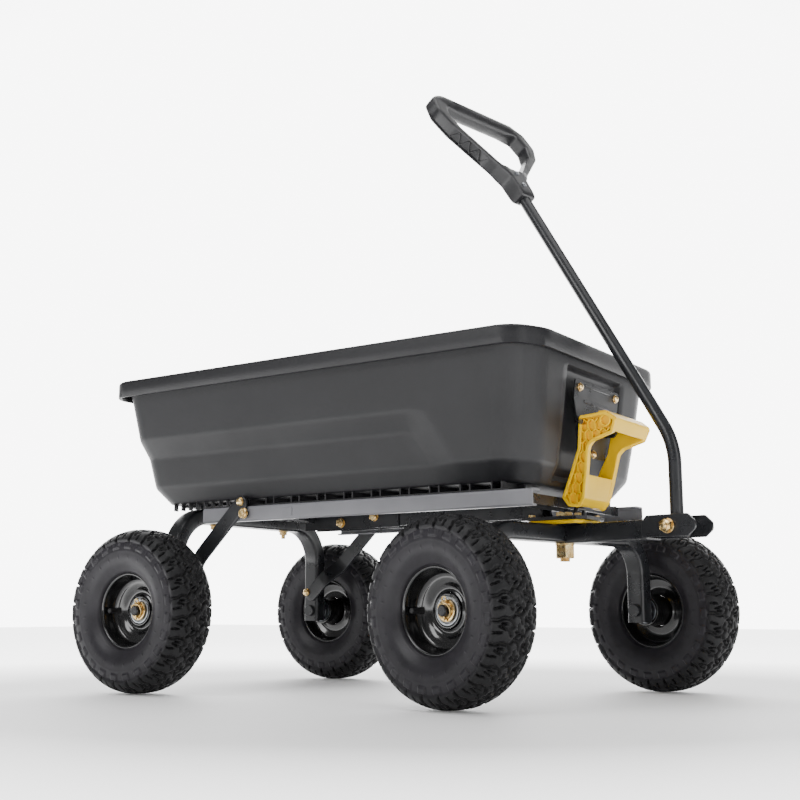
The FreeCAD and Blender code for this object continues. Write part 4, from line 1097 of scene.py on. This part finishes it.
def reach_of(outline, angle, centre):
    """Distance from a centre to an outline along each angle."""
    offset = outline - centre
    bearing = np.unwrap(np.arctan2(offset[:, 1], offset[:, 0]))
    if bearing[-1] < bearing[0]:
        offset, bearing = offset[::-1], bearing[::-1]
    return np.interp(angle, bearing, np.hypot(offset[:, 0], offset[:, 1]), period=2 * math.pi)


def grip_surface():
    """A ring whose section at each angle is a superellipse between the hole and the outline:
    square-shouldered in the neck and arms, round in the hand bar, with a long pocket sunk in
    the outer flank of each arm and fine ridges round the bar."""
    centre = np.array([0.0, 578.0])

    def both(points):
        return np.array(points + tuple((-x, y) for x, y in points[::-1]), float)

    outer_radii, hole_radii = (4, 14, 18, 22, 14, 10, 10), (7, 12, 9, 7)
    outer = spread(rounded(both(GRIP_OUTER), outer_radii + outer_radii[::-1], 8), 3)
    hole = spread(rounded(both(GRIP_HOLE), hole_radii + hole_radii[::-1], 8), 3)
    angle = np.linspace(-math.pi / 2, 1.5 * math.pi, 420, endpoint=False)
    far, near = reach_of(outer, angle, centre), reach_of(hole, angle, centre)
    ray = np.stack([np.cos(angle), np.sin(angle)], 1)
    outer_point, inner_point = centre + ray * far[:, None], centre + ray * near[:, None]
    bar = step(outer_point[:, 1] - 612, 16) * step(118 - np.abs(outer_point[:, 0]), 14)
    arm = step(outer_point[:, 1] - 500, 14) * step(612 - outer_point[:, 1], 14)
    turn = np.linspace(0, 2 * math.pi, 72, endpoint=False)
    power = (0.32 + 0.55 * bar)[:, None]
    wave_a, wave_b = np.cos(turn)[None, :], np.sin(turn)[None, :]
    outward = np.sign(wave_a) * np.abs(wave_a) ** power
    forward = np.sign(wave_b) * np.abs(wave_b) ** power
    ridges = 0.28 * bar[:, None] * np.cos(inner_point[:, :1] * 2 * math.pi / 4.0)
    pocket = arm[:, None] * step(outward - 0.55, 0.2) * step(0.76 - np.abs(forward), 0.1) * 4.5
    share = (1 + outward) / 2
    place_at = (inner_point[:, None] + share[..., None] * (outer_point - inner_point)[:, None] -
                pocket[..., None] * ray[:, None])
    neck = step(490 - outer_point[:, 1], 20)
    thick = (12.6 + 1.9 * bar + 1.6 * neck)[:, None] * forward + ridges * forward
    points = np.concatenate([place_at, thick[..., None]], -1)
    return grid(points, loop=True)


def grip_ribs():
    """Zigzag ribs across the pockets of the two arms."""
    parts = []
    for sign in (-1.0, 1.0):
        start, stop = np.array([44.0, 494.0]), np.array([103.0, 552.0])
        run = np.linspace(0, 1, 9)
        middle = start + (stop - start) * run[:, None]
        swing = np.where(np.arange(9) % 2, 8.2, -8.2)
        along = unit(stop - start)
        out = np.array([along[1], -along[0]])
        for i in range(8):
            segment = np.column_stack([middle[i:i + 2], swing[i:i + 2]])
            section = rounded([(-5.0, -0.7), (-0.6, -0.7), (-0.6, 0.7), (-5.0, 0.7)], 0.2, 2)
            parts.append(grid(carried(segment, section, (out[0], out[1], 0))))
        for part in parts[-8:]:
            part[0][:, 0] *= sign
    return parts


piece("moulded_grip", [grip_surface()] + grip_ribs(), "pull_handle", "grip_plastic", ["grip"],
      on_grip, crease=40)
screw_parts = []
for along in (452.0, 480.0):
    head = rounded([(0.4, 16.4), (2.4, 16.3), (4.0, 15.4), (4.0, 12.2), (0.4, 12.2)], 0.2, 3)
    turned = lathe(head, 32)
    points = np.stack([turned[..., 0], along + turned[..., 2], turned[..., 1]], -1)
    screw_parts.append(grid(points, loop=True))
piece("grip_screw_heads", screw_parts, "pull_handle", "yellow_zinc", ["grip_screws"], on_grip,
      material=STEEL)


# ------------------------------------------------------------------ dump release
PLATE_TILT = math.radians(6.6)
RELEASE = 680.0
FLARE = math.atan2(22.0, 133.0)
RELEASE_LOW_HALF, RELEASE_FOOT = 44.0, 280.0  # half width of the lever at its lowest level
THUMB_BOSS = (50.0, 403.0)


def on_latch(points):
    """Plate drawn on (across, up from its middle, outwards), leaning with the front wall."""
    lean_up = (math.sin(PLATE_TILT), 0, math.cos(PLATE_TILT))
    lean_out = (math.cos(PLATE_TILT), 0, -math.sin(PLATE_TILT))
    return on_bed(placed(points, (682.5, 0, 408), (0, 1, 0), lean_up, lean_out))


plate_outline = [(-50, -52), (50, -52), (60, 0), (76, 30), (76, 58), (-76, 58), (-76, 30), (-60, 0)]
latch = [moved(grid(plate(rounded(plate_outline, 4, 5), 0.0, 3.0, 0.6)), on_latch)]
for y in (-42.0, 42.0):
    ear = rounded([(684, 391), (697, 391), (703, 397), (703, 407), (697, 413), (684, 413)],
                  (1, 4, 4, 4, 4, 1), 4)
    latch.append(moved(moved(grid(plate(ear, y - 2, y + 2, 0.5)), upright), on_bed))
for half_width, low_edge in ((44.0, 26.0), (44.0, 50.0)):
    swage = rounded([(-half_width, low_edge), (half_width, low_edge), (half_width, low_edge + 5),
                     (-half_width, low_edge + 5)], 2.4, 4)
    latch.append(moved(grid(plate(swage, 2.5, 3.9, 0.6)), on_latch))
piece("latch_plate_detail", latch, "bed", "black_powder_coat", ["latch_plate"])
heads = []
for y, z in ((-62, 455), (62, 455), (0, 362)):
    heads += hexagon_head((y, (z - 408) / math.cos(PLATE_TILT), 3.1), (0, 0, 1), 10, 3.6, 6.6,
                          domed=True)
piece("latch_fixings", heads, "bed", "yellow_zinc", ["latch_plate_bolts"], on_latch)


def on_release_wall(sign):
    """Side wall drawn on (x, z) with its thickness outwards, leaning out with the flare."""
    def change(points):
        out, up = math.cos(FLARE), math.sin(FLARE)
        base = points[:, :1] * (1, 0, 0) + (0, sign * RELEASE_LOW_HALF, RELEASE_FOOT)
        rise = (points[:, 1:2] - RELEASE_FOOT) * np.array([[0, sign * up, out]])
        depth = points[:, 2:3] * np.array([[0, sign * out, -up]])
        return on_bed(base + rise + depth)
    return change


SIDE = ((10, 413), (52, 416), (68, 404), (60, 384), (28, 374), (20, 366), (13, 326), (6, 292),
        (-4, 279), (-21, 282), (-30, 295), (-13, 330), (3, 366), (6, 386))
WEB = ((13, 410), (51, 413), (64, 403), (57, 387), (27, 377), (17, 368), (10, 326), (3, 293),
       (-4, 282), (-19, 285), (-27, 295), (-10, 330), (6, 366), (9, 386))
SIDE_RADII = (5, 12, 5, 6, 9, 12, 10, 6, 6, 3, 3, 10, 8, 8)


def release_handle():
    """Two flared side walls, each a thin web inside a deep border with honeycomb ribs, and
    between them the pull bar, its hollow back and the lower front panel."""
    outline = spread(rounded([(RELEASE + x, z) for x, z in SIDE], SIDE_RADII, 6), 5)
    inner = inset(outline, 4.6)
    web = rounded([(RELEASE + x, z) for x, z in WEB], 1.5, 4)
    parts = []
    for sign in (-1.0, 1.0):
        wall = on_release_wall(sign)
        border = stacked(((outline, -10.4), (outline, -0.7), (inset(outline, 0.7), 0.0),
                          (inset(inner, -0.7), 0.0), (inner, -0.7), (inner, -10.4),
                          (inset(inner, -0.6), -11.0), (inset(outline, 0.6), -11.0)))
        parts.append(moved(grid(border, loop=True), wall))
        parts.append(moved(grid(plate(web, -10.8, -8.6, 0.2)), wall))
        starts, stops = honeycomb(web, 11.5, 20.0)
        clear = np.hypot(*((starts + stops) / 2 - THUMB_BOSS - (RELEASE, 0)).T) > 11.5
        starts, stops = starts[clear], stops[clear]
        parts.append(moved(bars(starts, stops, 1.5, -9.2, -1.2), wall))
        boss = circle(9.0, 36) + THUMB_BOSS + (RELEASE, 0)
        cup = stacked(((boss, -9), (boss, -0.9), (inset(boss, 0.5), -0.5),
                       (inset(boss, 1.9), -0.5), (inset(boss, 2.2), -0.9),
                       (inset(boss, 2.4), -7), (inset(boss, 2.4), -9)))
        parts.append(moved(grid(cup, loop=True), wall))
    bar = [(40, 416), (53, 416), (68, 404), (61, 385), (56.5, 387), (62, 403), (51, 411.5),
           (40, 411.5)]
    panel = [(7, 327), (12.5, 327), (5.6, 292), (-4, 280.5), (-13, 284), (-11, 287.5), (-5, 285),
             (1, 294)]
    for corners, radii in ((bar, (1, 10, 4, 2, 1.5, 3, 7, 1)),
                           (panel, (1.5, 1.5, 6, 6, 1, 1, 3, 5))):
        section = rounded([(RELEASE + x, z) for x, z in corners], radii, 6)
        rings = []
        for share in np.linspace(-1, 1, 9):
            half = RELEASE_LOW_HALF - 4 + (section[:, 1] - RELEASE_FOOT) * math.tan(FLARE)
            rings.append(np.column_stack([section[:, 0], share * half, section[:, 1]]))
        parts.append(moved(grid(np.stack(rings)), on_bed))
    return parts


piece("release_handle_moulding", release_handle(), "release_lever", "yellow_plastic",
      ["release_handle"], crease=40)

turns, spring_half, spring_radius = 9, 14.0, 6.3
turn = np.linspace(0, 2 * math.pi * turns, turns * 24)
coil = np.stack([RELEASE_X + spring_radius * np.cos(turn),
                 np.linspace(-spring_half, spring_half, len(turn)),
                 RELEASE_Z + spring_radius * np.sin(turn)], 1)
outward = np.stack([np.cos(turn), 0 * turn, np.sin(turn)], 1)
tangent = unit(np.gradient(coil, axis=0))
wire = circle(1.1, 10)
rings = (coil[:, None] + wire[None, :, :1] * outward[:, None] +
         wire[None, :, 1:2] * np.cross(outward, tangent)[:, None])
piece("torsion_spring", [moved(grid(rings), on_bed)], "bed", "zinc_steel", ["release_spring"])
